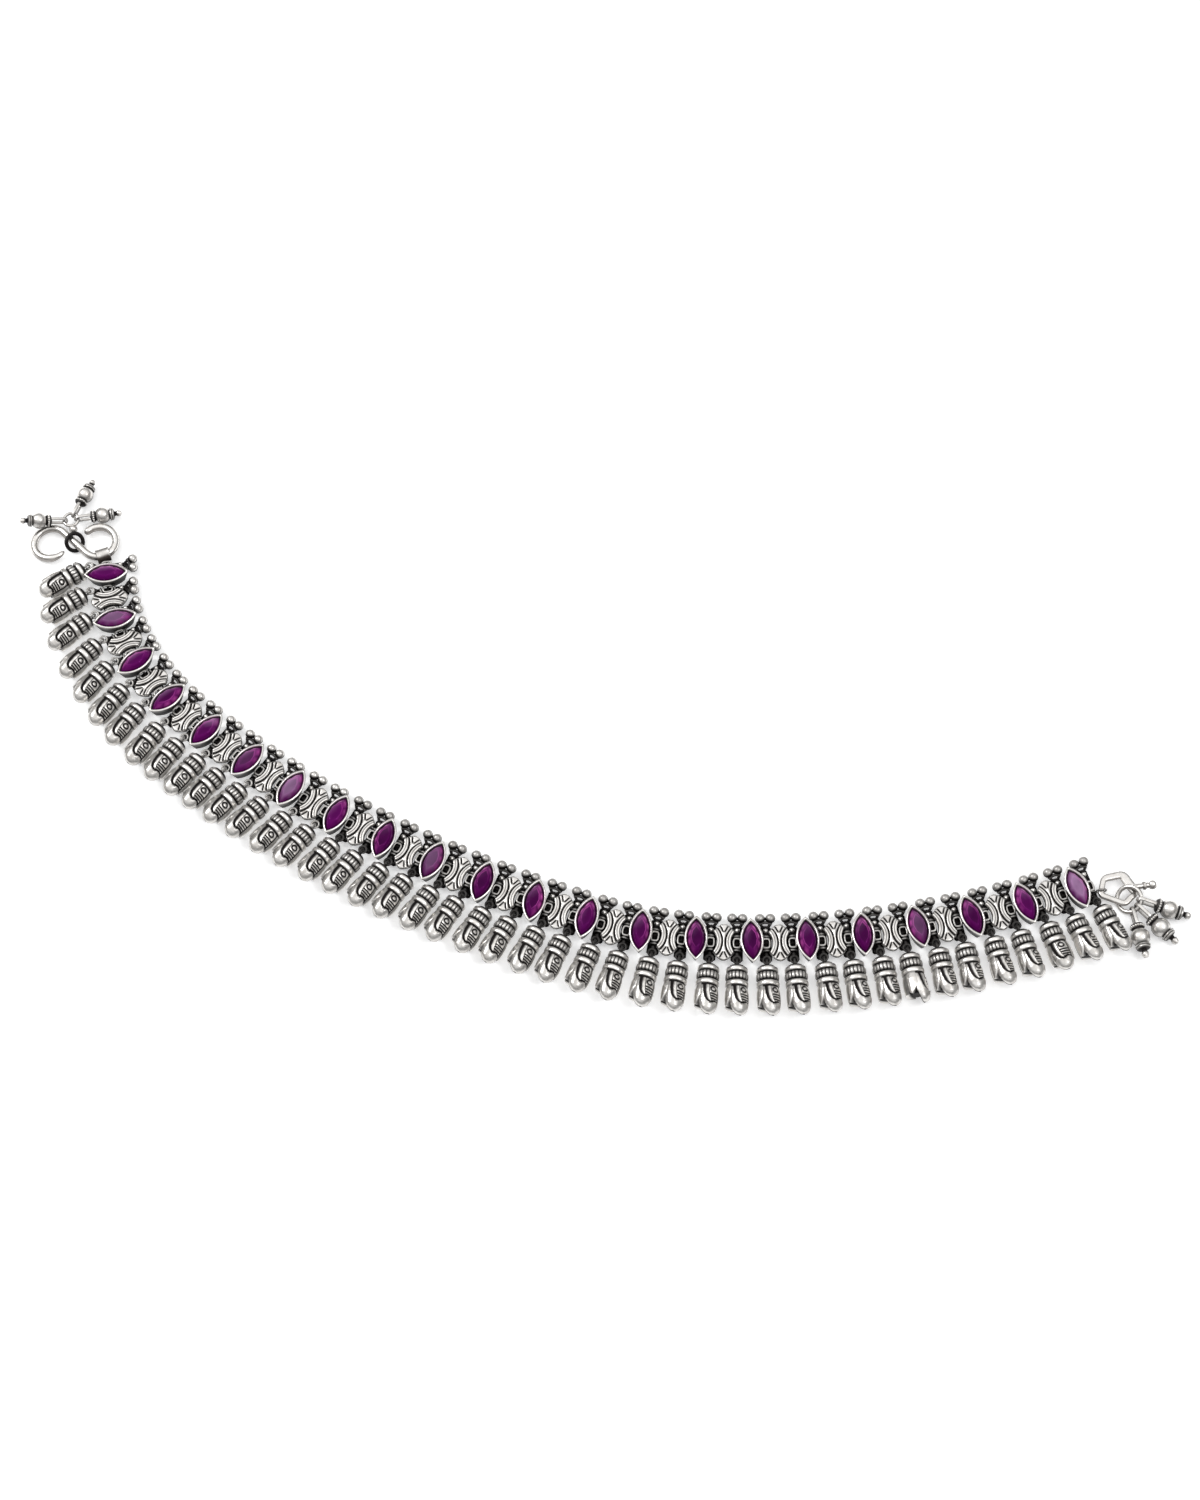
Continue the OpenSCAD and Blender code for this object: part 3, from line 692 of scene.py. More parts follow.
def makeStones():
    # towards(way) = 0.5 + 0.5 cos(angle round the stone - way); painted facet reflection * towards(its own
    # way)^2;
    # pale = painted reflection on the table + painted glint * towards(upper left of the view)^5 * (reach /
    # 0.55)^1.5, where reach is 0 at the middle and 1 at the rim; all of them differ in strength from stone to
    # stone
    shape = stoneShape()
    co = shape["co"]
    count = band["stones"]
    rng = np.random.default_rng(stone["seed"])
    side = np.arctan2(co[:, 1] / collet["length"], co[:, 0] / collet["width"])

    def towards(way):
        return 0.5 + 0.5 * np.cos(side[None, :] - way[:, None])

    facetReflectionWay = rng.uniform(-0.9, 0.9, count) + np.where(np.arange(count) % 2, 0.6, 2.6)
    whole = repeat(shape, stonePlaces)
    flat = np.isclose(co[:, 2], stone["tableZ"])
    paleReflection = np.array([stone["pale"].get(k, 0.0) for k in range(count)])[:, None] * np.where(flat, 1.0, 0.1)
    lie = np.arctan2(stonePlaces["turn"][:, 1, 0], stonePlaces["turn"][:, 0, 0])
    # painted glints: highlights painted on the upper facets towards the upper left of the view
    gloss = towards(math.radians(stone["glintWay"]) - lie + rng.normal(0, 0.35, count)) ** 5
    reach = np.hypot(co[:, 0] / collet["width"], co[:, 1] / collet["length"]) / 0.5
    first, last = stone["deeper"]
    deeper = ((np.arange(count) > first) & (np.arange(count) < last))[:, None]
    gloss = rng.uniform(0.15, 0.8, count)[:, None] * gloss * np.clip(reach / 0.55, 0, 1)[None] ** 1.5
    gloss = gloss * np.where(co[:, 2] > collet["height"], 1.0, 0.2)[None] * np.where(deeper, 0.25, 0.7)
    depth = shape["tones"]["depth"][None] * rng.uniform(0.35, 1.25, count)[:, None]
    depth = depth + np.where(deeper, 0.3, 0.0)
    facetReflection = shape["tones"]["facetReflection"][None] * towards(facetReflectionWay) ** 2 * rng.uniform(0.5, 1.0, count)[:, None]
    whole["tones"] = {"depth": depth.ravel().clip(0, 1), "facetReflection": facetReflection.ravel(),
                      "pale": (paleReflection + gloss).ravel().clip(0, 1)}
    makePiece("stones", [whole], purpleStone, ["stone_" + n for n in stoneIds], smooth=False)


makeStones()

# axe-head links: round blades, hollow sides with two raised bands each, notches at the blades
axe = {
    "length": 7.5, "width": 4.2, "waist": 2.7, "corner": 2.1,
    "low": 1.8, "top": 2.6,       # plate between these heights
    "edge": 0.18,                 # rounding of its upper edge
    "bandRise": 0.25, "bandWidth": 0.98, "lineAt": 0.5, "grooveAt": 1.04,    # across, from the hollow side
    "ridgeEnd": 2.3, "notch": (2.0, 3.35),           # places along the link, from its middle
    "foot": (1.8, 3.4),
    "earY": 1.45, "armTo": 1.95,
    "rings": 22, "around": 156,
}
axe["rise"] = axe["length"] / 2 - axe["corner"]
axe["bladeR"] = ((axe["width"] / 2) ** 2 + axe["rise"] ** 2) / (2 * axe["rise"])
axe["depth"] = (axe["width"] - axe["waist"]) / 2
axe["hollowR"] = (axe["corner"] ** 2 + axe["depth"] ** 2) / (2 * axe["depth"])


def bump(x, centre, width):
    # a round ridge: exp(-((x - centre) / width)^2)
    return np.exp(-(((x - centre) / width) ** 2))


def axeHalf(y):
    # half width at y: up to the corners the hollow, waist / 2 + R - sqrt(R^2 - y^2); past them the blade,
    # 0.6 of a circle and 0.4 of a straight line to its point
    a = axe
    far = np.abs(y)
    hollow = a["waist"] / 2 + a["hollowR"] - np.sqrt(np.maximum(a["hollowR"] ** 2 - y ** 2, 0))
    blade = np.sqrt(np.maximum(a["bladeR"] ** 2 - (far - (a["length"] / 2 - a["bladeR"])) ** 2, 0))
    blade = 0.6 * blade + 0.4 * a["width"] / 2 * (a["length"] / 2 - far) / a["rise"]
    return np.where(far < a["corner"], hollow, blade)


def axeRelief(x, y):
    # height over the plate and patina: a broad band along each hollow side with a fine line in it, a deep
    # groove behind it, a ridge between the grooves and two slanting notches at each blade
    a = axe
    toSide = np.sqrt((np.abs(x) - a["waist"] / 2 - a["hollowR"]) ** 2 + y ** 2) - a["hollowR"]
    far = np.abs(y)
    bands = np.clip((a["bandWidth"] - toSide) / 0.12, 0, 1) * np.clip(toSide / 0.12, 0.2, 1)
    groove = bump(toSide, a["grooveAt"], 0.15)
    line = bump(toSide, a["lineAt"], 0.12)
    ridge = bump(x, 0, 0.3) * np.clip((a["ridgeEnd"] - far) / 0.4, 0, 1)
    slant = np.abs(x) - 0.16 - 0.5 * (far - 2.1)
    start, end = a["notch"]
    notches = bump(slant, 0, 0.14) * np.clip((far - start) / 0.15, 0, 1) * np.clip((end - far) / 0.15, 0, 1)
    height = a["bandRise"] * (bands + 0.5 * ridge - 0.9 * groove - 0.15 * line - 1.0 * notches)
    dark = np.clip(1.3 * groove + 0.6 * line + 1.3 * notches + 0.12 * (1 - bands) * (1 - ridge), 0, 1)
    return height, dark


def axeTop(outline):
    # copies of the outline, s * outline, rise from its middle to its border on the top, then go down the wall
    # and under; z = top + relief, rounded off by edge * (1 - sqrt((1 - s) / 0.08)) near the border
    rings, low = axe["rings"], axe["low"]
    s = np.concatenate([np.linspace(0, 1, rings), [1.0, 0.96, 0.0]])[:, None, None]
    flat = s * outline[None]
    raised, dark = axeRelief(flat[..., 0], flat[..., 1])
    lie = np.clip((1 - s[..., 0]) / 0.08, 0, 1) ** 0.5
    z = axe["top"] - axe["edge"] * (1 - lie) + raised * lie
    z[rings:] = np.array([low + 0.12, low, low])[:, None]
    dark = np.where(np.arange(len(s))[:, None] >= rings, 0.8, dark)
    dark[rings - 1] = 0.15
    return grid(np.concatenate([flat, z[..., None]], -1), dark, wrapV=True)


def axeShape():
    # the plate with its relief, a foot under it, and a pair of ring ears with their arms at both sides
    a = axe
    t = np.arange(a["around"]) / a["around"] * 2 * np.pi
    y = a["length"] / 2 * np.sin(t)
    side = np.sign(np.cos(t)) * np.where(np.abs(np.cos(t)) < 1e-9, 0, 1)
    fx, fy = np.array(a["foot"]) / 2
    foot = [(fx, -fy), (fx, fy), (-fx, fy), (-fx, -fy)]
    parts = [axeTop(np.column_stack([axeHalf(y) * side, y])), slab(foot, 0.0, a["low"] + 0.1, 0.9, 0.15)]
    for side in (-1, 1):
        for earY in (-a["earY"], a["earY"]):
            parts.append(earRing(side * band["linkStep"] / 2, earY, band["barZ"]))
            parts.append(bar((0, earY, band["barZ"]), (side * a["armTo"], earY, band["barZ"]), 0.36))
    return joined(*parts)


makePiece("axeLinks", [repeat(axeShape(), atPieces(2 * np.arange(band["stones"] - 1) + 1))], agedSilver,
          ["axe_links"], crease=60, low=1.95)

# cross links: a bar for the ears, a frame ring under two balls at the inner end, an eye at the outer end
cross = {
    "ballD": 1.95, "pitch": 2.02, "row": 5.3,
    "eyeRow": 3.5, "eyeZ": 2.2, "eyeHole": 0.52, "wire": 0.42,
    "bar": 0.6, "frameHole": 0.62, "frameY": 4.45, "post": 0.6,
    "knobD": 1.0, "knobY": 2.75,
    "arch": (1.25, 0.75, 0.45, 0.22),       # half width, how far in from the balls, depth, height
    "shoulder": ((0.3, -1.9), (1.05, -2.95)),    # half width and place of the plate's ends below the ears
    "sole": (1.2, -3.2, 4.1),     # half width and ends of the bottom plate, dark all over: blackened metal and painted shade in the band's gaps
    "soleZ": (-1.24, -1.04),
    "window": (0.7, 0.92, 0.78),  # half width, half length and height of the square ring in the middle
}


def crossShape(eyeTone, ballTone):
    # the patina of its eye and of its balls is given, as they are brighter at the band's left end;
    # the arch is (1.25 t, row - 0.75 - 0.45 t^2), the square ring the superellipse |x|^4 + |y|^4 = 1, scaled
    c = cross
    lift = c["eyeZ"] - band["barZ"]
    postY = -c["eyeRow"] + c["eyeHole"] + c["wire"] - 0.1
    (narrow, high), (wide, low) = c["shoulder"]
    plate = [(wide, low), (narrow, high), (-narrow, high), (-wide, low)]
    half, start, end = c["sole"]
    sole = np.array([(half - 0.35, start), (half, start + 0.3), (half, end - 0.3), (half - 0.35, end)])
    # the bar and both plates are fully dark and the post nearly: blackened metal together with painted shade
    # under the band
    parts = [
        bar((0, postY, 0), (0, c["frameY"] - c["frameHole"] - 0.2, 0), c["bar"], 1.0),
        moved(ring(c["frameHole"] + c["bar"] / 2, c["bar"], 24, 8, 0.45), 0, c["frameY"], 0),
        slab(plate, -c["bar"] / 2, c["bar"] / 2, 1.0, 0.12),
        slab(np.vstack([sole, sole[::-1] * (-1, 1)]), *c["soleZ"], 1.0, 0.06),
    ]
    for y in (start + 0.35, end - 0.35):
        parts.append(bar((0, y, c["soleZ"][0] + 0.05), (0, y, 0), 0.5, 1.0))
    t = np.linspace(-1, 1, 13)
    half, back, depth, up = c["arch"]
    arch = atHeight(np.column_stack([t * half, c["row"] - back - depth * t ** 2]), up)
    wide, long, window = c["window"]
    a = np.arange(20) * 2 * np.pi / 20
    corner = (np.abs(np.cos(a)) ** 4 + np.abs(np.sin(a)) ** 4) ** -0.25
    loop = atHeight(np.column_stack([wide * corner * np.cos(a), long * corner * np.sin(a)]), window)
    parts += [
        tube(arch, 0.32, 8, 0.4, high=0.2),
        moved(ball(c["knobD"], 12, 8, -0.2), 0, c["knobY"], 0.3),
        bar((0, postY + 0.3, 0), (0, postY + 0.3, lift), c["post"], 0.85),
        moved(ring(c["eyeHole"] + c["wire"] / 2, c["wire"], 20, 8, eyeTone), 0, -c["eyeRow"], lift),
        tube(loop, 0.2, 8, 0.25, closed=True, high=0.16),
    ]
    for side in (-1, 1):
        # the side of a ball painted with shade faces outwards over the band and towards the other ball
        grain = swung(swung(ball(c["ballD"], 18, 14, 0.28), "x", -50), "z", -22 * side)
        grain["patinaAndShade"] = np.maximum(grain["patinaAndShade"], ballTone)
        parts.append(moved(grain, side * c["pitch"] / 2, c["row"], c["bar"] / 2 + 0.12))
    return joined(*parts)


makePiece("crossLinks", [repeat(crossShape(0.3, 0.16), atBars(links[:band["leftLinks"]])),
                         repeat(crossShape(0.8, 0.32), atBars(links[band["leftLinks"]:]))],
          agedSilver, ["cross_links"], crease=60, low=2.0)
print("band ready")

# tulip drops, worked out upright along z, their ring at the origin; they are laid down along -y at the end
drop = {
    "ring": 0.73, "wire": 0.42,
    "capY": 0.4, "collarY": 1.15, "collarR": 2.27, "coreR": 1.6,
    "budY": 5.2, "leafEnd": 9.2, "length": 11.0, "budD": 4.8,
    "rings": ((0.0, 0.92, 0.12, 0), (1.2, 1.37, 0.0, 18), (2.85, 1.1, 0.0, 0)),  # start, height, back, lobes
    "petalFrom": 5.05,
    "lipIn": 0.8,                 # distance of the lip's inside from the axis
    "leafTurn": 88,               # between a broad petal and the leaf on its left
    # distance along the drop with the bud's radius, and with half the width of a petal and of a leaf
    "bud": ((5.0, 2.05), (6.3, 2.34), (7.6, 2.4), (9.0, 2.3), (10.1, 2.08), (10.6, 1.8), (11.0, 1.35)),
    "petal": ((5.0, 1.65), (6.3, 1.86), (7.6, 1.9), (9.0, 1.84), (9.8, 1.7), (10.4, 1.42), (10.8, 0.95),
              (11.0, 0.4)),
    "leaf": ((5.0, 1.28), (7.4, 1.24), (8.0, 1.04), (8.6, 0.76), (9.0, 0.5), (9.2, 0.1)),
    # how far the broad petal leans to its left, and a leaf away from the broad petal
    "petalLean": ((5.0, -0.3), (8.5, -0.24), (10.4, -0.05), (11.0, 0.0)),
    "leafLean": ((5.0, 0.0), (7.4, 0.0), (8.0, -0.15), (8.6, -0.4), (9.0, -0.48), (9.2, -0.45)),
    "rightFrom": 30,              # first drop of the band's right part
}

# the broad petal's engraving, in shares of its half width and of its length
engraving = {
    "lipAt": 0.65,
    "sweep": ((0, -0.7), (0.3, -0.66), (0.5, -0.56), (0.66, -0.32)),     # where the long groove runs
    "splitAt": 0.44,              # fine line between stave and panel, from the groove
    "panelFrom": 0.45,
    "ovalAt": (0.26, 0.19), "ovalSize": (0.3, 0.078),
    "ribsFrom": 0.32, "ribAt": 0.36, "ribStep": 0.084,
}


def collarRing(start, high, r, lobes):
    # a rounded band, a half superellipse with rise = sin(t)^0.45 from start to start + high on the core, cut
    # into upright lobes if it has any: radius = core + rise * (r - core - 0.14 groove),
    # groove = 1 - |cos(lobes a / 2)|^0.5
    count = lobes * 6 or 48
    a = np.arange(count) * 2 * np.pi / count
    groove = 1 - np.abs(np.cos(lobes * a / 2)) ** 0.5
    t = np.linspace(0, math.pi, 7 if lobes else 9)[:, None]
    rise = np.sin(t) ** 0.45
    z = start + high / 2 * (1 - np.sign(np.cos(t)) * np.abs(np.cos(t)) ** 0.6)
    radius = drop["coreR"] + (r - drop["coreR"]) * rise - 0.14 * groove * rise
    tone = (0.08 if lobes else 0.0) + 0.95 * (1 - rise) ** 0.7 + 1.1 * groove ** 1.2
    ends = np.zeros((1, count))
    radius = np.vstack([ends, radius, ends])
    z = np.vstack([[[start]], z, [[start + high]]]) * np.ones(count)
    tone = np.vstack([ends + 1, np.clip(tone, 0, 1), ends + 1])
    return roundGrid(radius, z, tone)


def petalRelief(u, q):
    # u across from -1 to 1, q along from 0 to 1: a raised rim that runs into the lip, a groove that sweeps
    # from the top towards the lip's middle, a smooth stave beside it, a sunk panel with an oval and three
    # ribs, and a dark line under the collar
    e = engraving
    edge = e["lipAt"] + 0.03 * np.cos(6 * (u + 0.05))
    lip = np.clip((q - edge) / 0.03, 0, 1)
    sweep = lookUp(q, e["sweep"])
    groove = (bump(u, sweep, 0.13) + bump(u, 0.9, 0.06)) * (1 - lip)
    groove = groove + bump(q, edge - 0.03, 0.022) * (u > sweep) * (u < 0.92)
    rim = np.clip((sweep - 0.1 - u) / 0.05, 0, 1) + np.clip((u - 0.95) / 0.03, 0, 1)
    raised = np.clip(lip + rim, 0, 1)
    split = bump(u, sweep + e["splitAt"], 0.035) * (1 - lip)
    panel = np.clip((u - sweep - e["panelFrom"]) / 0.05, 0, 1) * (1 - raised)
    oval = np.hypot((u - e["ovalAt"][0]) / e["ovalSize"][0], (q - e["ovalAt"][1]) / e["ovalSize"][1])
    ribs = (0.5 + 0.5 * np.cos((q - e["ribAt"]) * 2 * np.pi / e["ribStep"])) ** 1.2
    ribs = np.clip((q - e["ribsFrom"]) / 0.02, 0, 1) * ribs
    cut = (bump(oval, 1.0, 0.3) + ribs) * panel
    hollow = np.clip(groove + 0.6 * split + 0.9 * cut, 0, 1.2)
    height = 0.15 * raised + 0.1 * (1 - panel) - 0.28 * hollow
    dark = 1.7 * groove + 0.9 * split + 1.3 * cut + 0.2 * lip + 1.2 * np.clip((0.09 - q) / 0.035, 0, 1)
    return height, np.clip(dark, 0, 1)


def leafRelief(u, q):
    # a plain rounded leaf, 0.05 * (1 - u^2) high, darker along its edges and at its foot
    dark = np.clip(0.45 * np.abs(u) ** 6 + 0.5 * np.clip((0.1 - q) / 0.1, 0, 1), 0, 1)
    return 0.05 * (1 - u ** 2), dark


def petalShell(end, width, q, cols, reliefAt, backDepth, lean=((0, 0), (1, 0))):
    # the outside follows the bud: x = lean(s) + u * width(s), y = sqrt(r(s)^2 - x^2) + relief, where s runs
    # from the bud's start to the end; the inside is flat
    s = drop["petalFrom"] + q * (end - drop["petalFrom"])
    rows = len(q)
    u = np.linspace(-1, 1, cols)
    w = lookUp(s, width)[:, None]
    r = lookUp(s, drop["bud"])[:, None]
    off = lookUp(s, lean)[:, None]
    x = off + u[None] * w
    height, dark = reliefAt(*np.broadcast_arrays(u[None], q[:, None]))
    edge = np.sqrt(np.clip(1 - np.abs(u[None]) ** 6, 0, 1))
    y = np.sqrt(r ** 2 - x ** 2) + height * edge - 0.22 * (1 - edge)
    inner = np.broadcast_to(backDepth, (rows,))[:, None] * np.ones((1, 2))
    outX = np.hstack([x, off + 0.92 * w, off - 0.92 * w])
    outY = np.hstack([y, inner])
    tone = np.hstack([dark, np.ones((rows, 2))])
    points = np.stack([outX, outY, s[:, None] * np.ones((1, cols + 2))], -1)
    middle = points.mean(1, keepdims=True)
    shut = np.concatenate([middle[:1] + 0 * points[:1], points, middle[-1:] + 0 * points[-1:]])
    return grid(shut, np.vstack([tone[:1], tone, tone[-1:]]), wrapV=True)


def dropShape():
    # the cap, the collar rings round a core, the broad petal, its plain back and two leaves
    d = drop
    top = d["collarY"]
    low = d["capY"]
    cap = [(0, low), (0.5, low), (0.62, low + 0.03), (1.35, low + 0.26), (1.47, low + 0.34),
           (1.86, top - 0.06), (1.9, top + 0.05), (0, top + 0.1)]
    # the cap is nearly black: patina together with painted shade under the band
    parts = [lathe(cap, 32, [1, 0.9, 0.75, 0.7, 0.9, 0.85, 1, 1])]
    parts.append(lathe([(0, top), (1.72, top), (1.72, d["budY"]), (0, d["budY"])], 32, 1.0))
    for start, high, back, lobes in d["rings"]:
        parts.append(collarRing(top + start, high, d["collarR"] - back, lobes))
    core = [(0, d["budY"] - 0.2), (1.74, d["budY"] - 0.2), (1.93, 6.3), (1.88, 7.6), (1.28, d["leafEnd"]),
            (0, d["leafEnd"])]
    parts.append(lathe(core, 32, 1.0))
    fine = np.concatenate([np.linspace(0, 0.08, 4), np.linspace(0.1, 0.68, 44), np.linspace(0.72, 1, 12)])
    inside = np.interp(fine, [0.65, 0.71], [0.5, d["lipIn"]])
    parts.append(petalShell(d["length"], d["petal"], fine, 36, petalRelief, inside, d["petalLean"]))
    back = petalShell(d["leafEnd"], d["petal"], np.linspace(0, 1, 12), 12, leafRelief, 0.95)
    parts.append(swung(back, "z", 180))
    leaf = petalShell(d["leafEnd"], d["leaf"], np.linspace(0, 1, 20), 14, leafRelief, 1.1, d["leafLean"])
    parts += [swung(leaf, "z", side + d["leafTurn"]) for side in (0, 180)]
    return joined(*[swung(p, "x", 90) for p in parts])


def dropRing(tone):
    # the ring stands across the band, in the plane of y and z
    return joined(swung(ring(drop["ring"], drop["wire"], 20, 8, tone), "y", 90))


def hangDrops():
    # each drop leans from its eye to the table by asin(fall / reach), swings on the table and turns about
    # its own length
    fall = drop["budD"] / 2 + 0.02 - cross["eyeZ"]
    lean = math.degrees(math.asin(fall / (drop["budY"] + 2.5)))
    count = len(links)
    origins = np.zeros((count, 3))
    eye = [0, -cross["eyeRow"], cross["eyeZ"] - band["barZ"]]
    swing = places(origins + eye, turn("z", lookUp(links, band["swings"])))
    hung = within(within(atBars(links), swing), fixed([0, -drop["ring"], 0], turn("x", -lean)))
    spun = within(hung, places(origins, turn("y", lookUp(links, band["spins"]))))
    body = dropShape()
    left, right = band["leftLinks"], drop["rightFrom"]
    for name, first, end, tone in (("tulipDropsLeft", 0, left, 0.25), ("tulipDropsMiddle", left, right, 0.8),
                                   ("tulipDropsRight", right, count, 0.8)):
        bodies, rings = ({key: p[key][first:end] for key in p} for p in (spun, hung))
        makePiece(name, [repeat(body, bodies), repeat(dropRing(tone), rings)], agedSilver,
                  ["tulip_drops"], crease=50, sideShade=0.12)


hangDrops()
print("drops ready")

# clasp end: the barrel eye, the S-hook, the ring round it and three spindle drops
clasp = {
    "leftLoop": (-12.0, 5.5), "rightLoop": (-2.1, 5.6),   # loop middles, from the first cross bar
    "wire": 1.57, "r": 3.5, "z": 1.55,
    "dip": 0.085,                 # how far its left part sinks, per millimetre
    "leftFree": -35, "rightFree": 145,               # where the free ends stop
    "barrelHole": 1.12, "barrelMetal": 0.38, "barrelLength": 2.8, "barrelSide": -70,
    "ringR": 1.78, "ringWire": 0.84, "ringTilt": 42, "ringWay": 135,
    "knotD": 1.7, "knotAt": (2.6, 98),               # distance and direction from the hook's crossing
    "hangR": 1.5, "hangWire": 0.65, "hangZ": 2.1, "hangAt": (5.1, 102),
    "drops": ((189, 1.8), (68, 0.07), (11, 0.07)),   # direction, height that the body rests at
    "dropSize": 0.88,
}
leftLoop = joints[0] + clasp["leftLoop"]
rightLoop = joints[0] + clasp["rightLoop"]
crossing = (leftLoop + rightLoop) / 2
knotAt, hangAt = (crossing + far * along(way) for far, way in (clasp["knotAt"], clasp["hangAt"]))


def hookShape():
    # one bow round each loop's middle, middle + r * along(a), with a straight run between, thinned at its
    # left end and rounded at its right, with a little wear and hammering along the wire
    c = clasp
    run = rightLoop - leftLoop
    line = math.degrees(math.atan2(run[1], run[0]))
    leave = line + 90 - math.degrees(math.asin(2 * c["r"] / np.linalg.norm(run)))
    first = leftLoop + c["r"] * along(np.arange(360 + c["leftFree"], leave, -4.0))
    last = rightLoop + c["r"] * along(np.arange(180 + leave, 360 + c["rightFree"] + 1, 4.0))
    path = np.vstack([first, last])
    k = np.arange(len(path))
    thin = np.minimum(np.interp(k, [0, 1, 2, 12], [0.2, 0.42, 0.6, 1]),
                      np.interp(k[::-1], [0, 1, 2, 4], [0.45, 0.8, 0.96, 1]))
    thin = thin * (1 + 0.02 * np.sin(k * 1.9) * np.sin(k * 0.7))
    z = c["z"] - c["dip"] * np.maximum(0, crossing[0] - path[:, 0])
    return joined(tube(atHeight(path, z), c["wire"] / 2 * thin, 20, 0.05))


def barrelShape():
    # a tube with rounded lips: rows of (radius, height, patina) go up the outside and down the inside
    inner = clasp["barrelHole"]
    outer = inner + clasp["barrelMetal"]
    half = clasp["barrelLength"] / 2
    rows = [(inner + 0.08, -half, 0.3), (outer - 0.1, -half, 0.15), (outer, -half + 0.12, 0.05),
            (outer - 0.07, -half + 0.5, 0.1), (outer - 0.07, half - 0.5, 0.1), (outer, half - 0.12, 0.05),
            (outer - 0.1, half, 0.15), (inner + 0.08, half, 0.3), (inner, half - 0.1, 1),
            (inner, -half + 0.1, 1)]
    return joined(lathe([row[:2] for row in rows], 32, [row[2] for row in rows], closed=True))


def makeHook():
    # the barrel goes round the hook's wire on its right loop, and a ring ear holds it to the first cross bar
    c = clasp
    seat = rightLoop + (c["r"] - 0.14) * along(c["barrelSide"])
    barrel = repeat(barrelShape(), fixed([*seat, c["z"]], turn("z", c["barrelSide"]), turn("x", 90)))
    stub = bar((-1.2, 0, 0), (-ear["hole"] - 0.1, 0, 0), ear["wire"])
    holder = repeat(joined(earRing(0), stub), within(atBars(links[:1]), fixed([0, -ear["y"], 0])))
    makePiece("claspEye", [barrel, holder], brightSilver, ["clasp_eye"],
              sideShade=0.4, frontShade=0.75)
    makePiece("sHook", [repeat(hookShape(), fixed([0, 0, 0]))], brightSilver, ["s_hook"],
              crease=60, frontShade=0.4)


def makeClaspRing():
    # a tilted ring round the hook's crossing, a round knot on it and the ring for the drops
    c = clasp
    big = repeat(joined(ring(c["ringR"], c["ringWire"], 40, 12, 0.85)),
                 fixed([*crossing, c["z"]], turn("z", c["ringWay"]), turn("y", -c["ringTilt"])))
    knot = repeat(joined(ball(c["knotD"], 20, 14, -0.5)), fixed([*knotAt, c["hangZ"] + 0.3]))
    hang = repeat(joined(ring(c["hangR"], c["hangWire"], 36, 10, 0.1)), fixed([*hangAt, c["hangZ"]]))
    makePiece("claspRing", [big, knot, hang], agedSilver, ["clasp_ring"],
              crease=60, frontShade=0.3)


makeHook()
makeClaspRing()

# spindle drops, along x from their loop
spindle = {
    "bailWire": 0.42, "bailRise": 0.9, "bailIn": 0.85, "bailLength": 2.6,
    "capAt": 2.75, "bodyAt": 3.0, "d": 3.8,
    "beads": 16, "beadD": 0.56, "beadRow": (0.78, 1.26),     # place along the cap, radius
    # rows of (radius, place along the drop, patina) before and after the round body
    "cap": ((0, 0.0, 0.6), (0.45, 0.0, 0.6), (0.5, 0.15, 0.9), (1.1, 0.2, 0.8), (1.3, 0.35, 0.7),
            (1.3, 1.2, 0.8), (1.1, 1.4, 1)),
    "tip": ((1.2, 4.62, 1), (1.46, 4.74, 0.4), (1.52, 4.9, 0.1), (1.42, 5.04, 0.3), (1.3, 5.1, 0.95),
            (1.42, 5.2, 0.3), (1.4, 5.42, 0.2), (1.15, 5.62, 0.6), (0.6, 5.75, 1), (0.5, 6.1, 1),
            (0.55, 6.2, 0.8), (0.72, 6.5, 0.2), (0.75, 6.8, 0), (0.55, 7.28, 0), (0, 7.5, 0)),
}


def stadium(x0, x1, r):
    # two half circles joined by straight sides, in the plane of x and z
    a = np.radians(np.linspace(-90, 90, 10))
    right = np.column_stack([x1 + r * np.cos(a), r * np.sin(a)])
    left = np.column_stack([x0 - r * np.cos(a), -r * np.sin(a)])
    flat = np.vstack([right, left])
    return np.column_stack([flat[:, 0], np.zeros(len(flat)), flat[:, 1]])


def spindleShape():
    # turned about x: cap ring with beads round it, round body, ribbed ring, small tip with a ball
    s = spindle
    inset = s["bailRise"] - s["bailIn"]
    loop = tube(stadium(inset, s["bailLength"] - inset, s["bailRise"]), s["bailWire"] / 2, 8, 0.1,
                closed=True, high=0.4)
    r = s["d"] / 2
    t = np.radians(np.linspace(-60, 60, 17))
    shade = [1, 0.5, 0.15] + [0.05] * 11 + [0.15, 0.5, 1]
    globe = np.column_stack([r * np.cos(t), s["bodyAt"] + r * np.sin(t), shade])
    rows = np.vstack([s["cap"], globe, s["tip"]])
    parts = [loop, moved(swung(lathe(rows[:, :2], 32, rows[:, 2]), "y", 90), s["capAt"], 0, 0)]
    bead = swung(ball(s["beadD"], 10, 6, -0.4), "y", 90)
    at, out = s["beadRow"]
    for k in range(s["beads"]):
        a = 2 * math.pi * k / s["beads"]
        parts.append(moved(bead, s["capAt"] + at, out * math.cos(a), out * math.sin(a)))
    return joined(*parts)


spindleAlone = spindleShape()


def makeSpindle(name, node, at, way, size=1.0, rest=0.07):
    # its bail at the given point, lying along the given direction, its round body resting at the given height
    reach = size * (spindle["capAt"] + spindle["bodyAt"])
    dip = math.degrees(math.asin((at[2] - size * spindle["d"] / 2 - rest) / reach))
    shape = {**spindleAlone, "co": spindleAlone["co"] * size}
    makePiece(name, [repeat(shape, fixed(at, turn("z", way), turn("y", dip)))], agedSilver, [node],
              frontShade=0.25)


for k, (way, rest) in enumerate(clasp["drops"], 1):
    at = [*(hangAt + clasp["hangR"] * along(way)), clasp["hangZ"]]
    makeSpindle("claspDrop%d" % k, "clasp_drop_%02d" % k, at, way, clasp["dropSize"], rest)

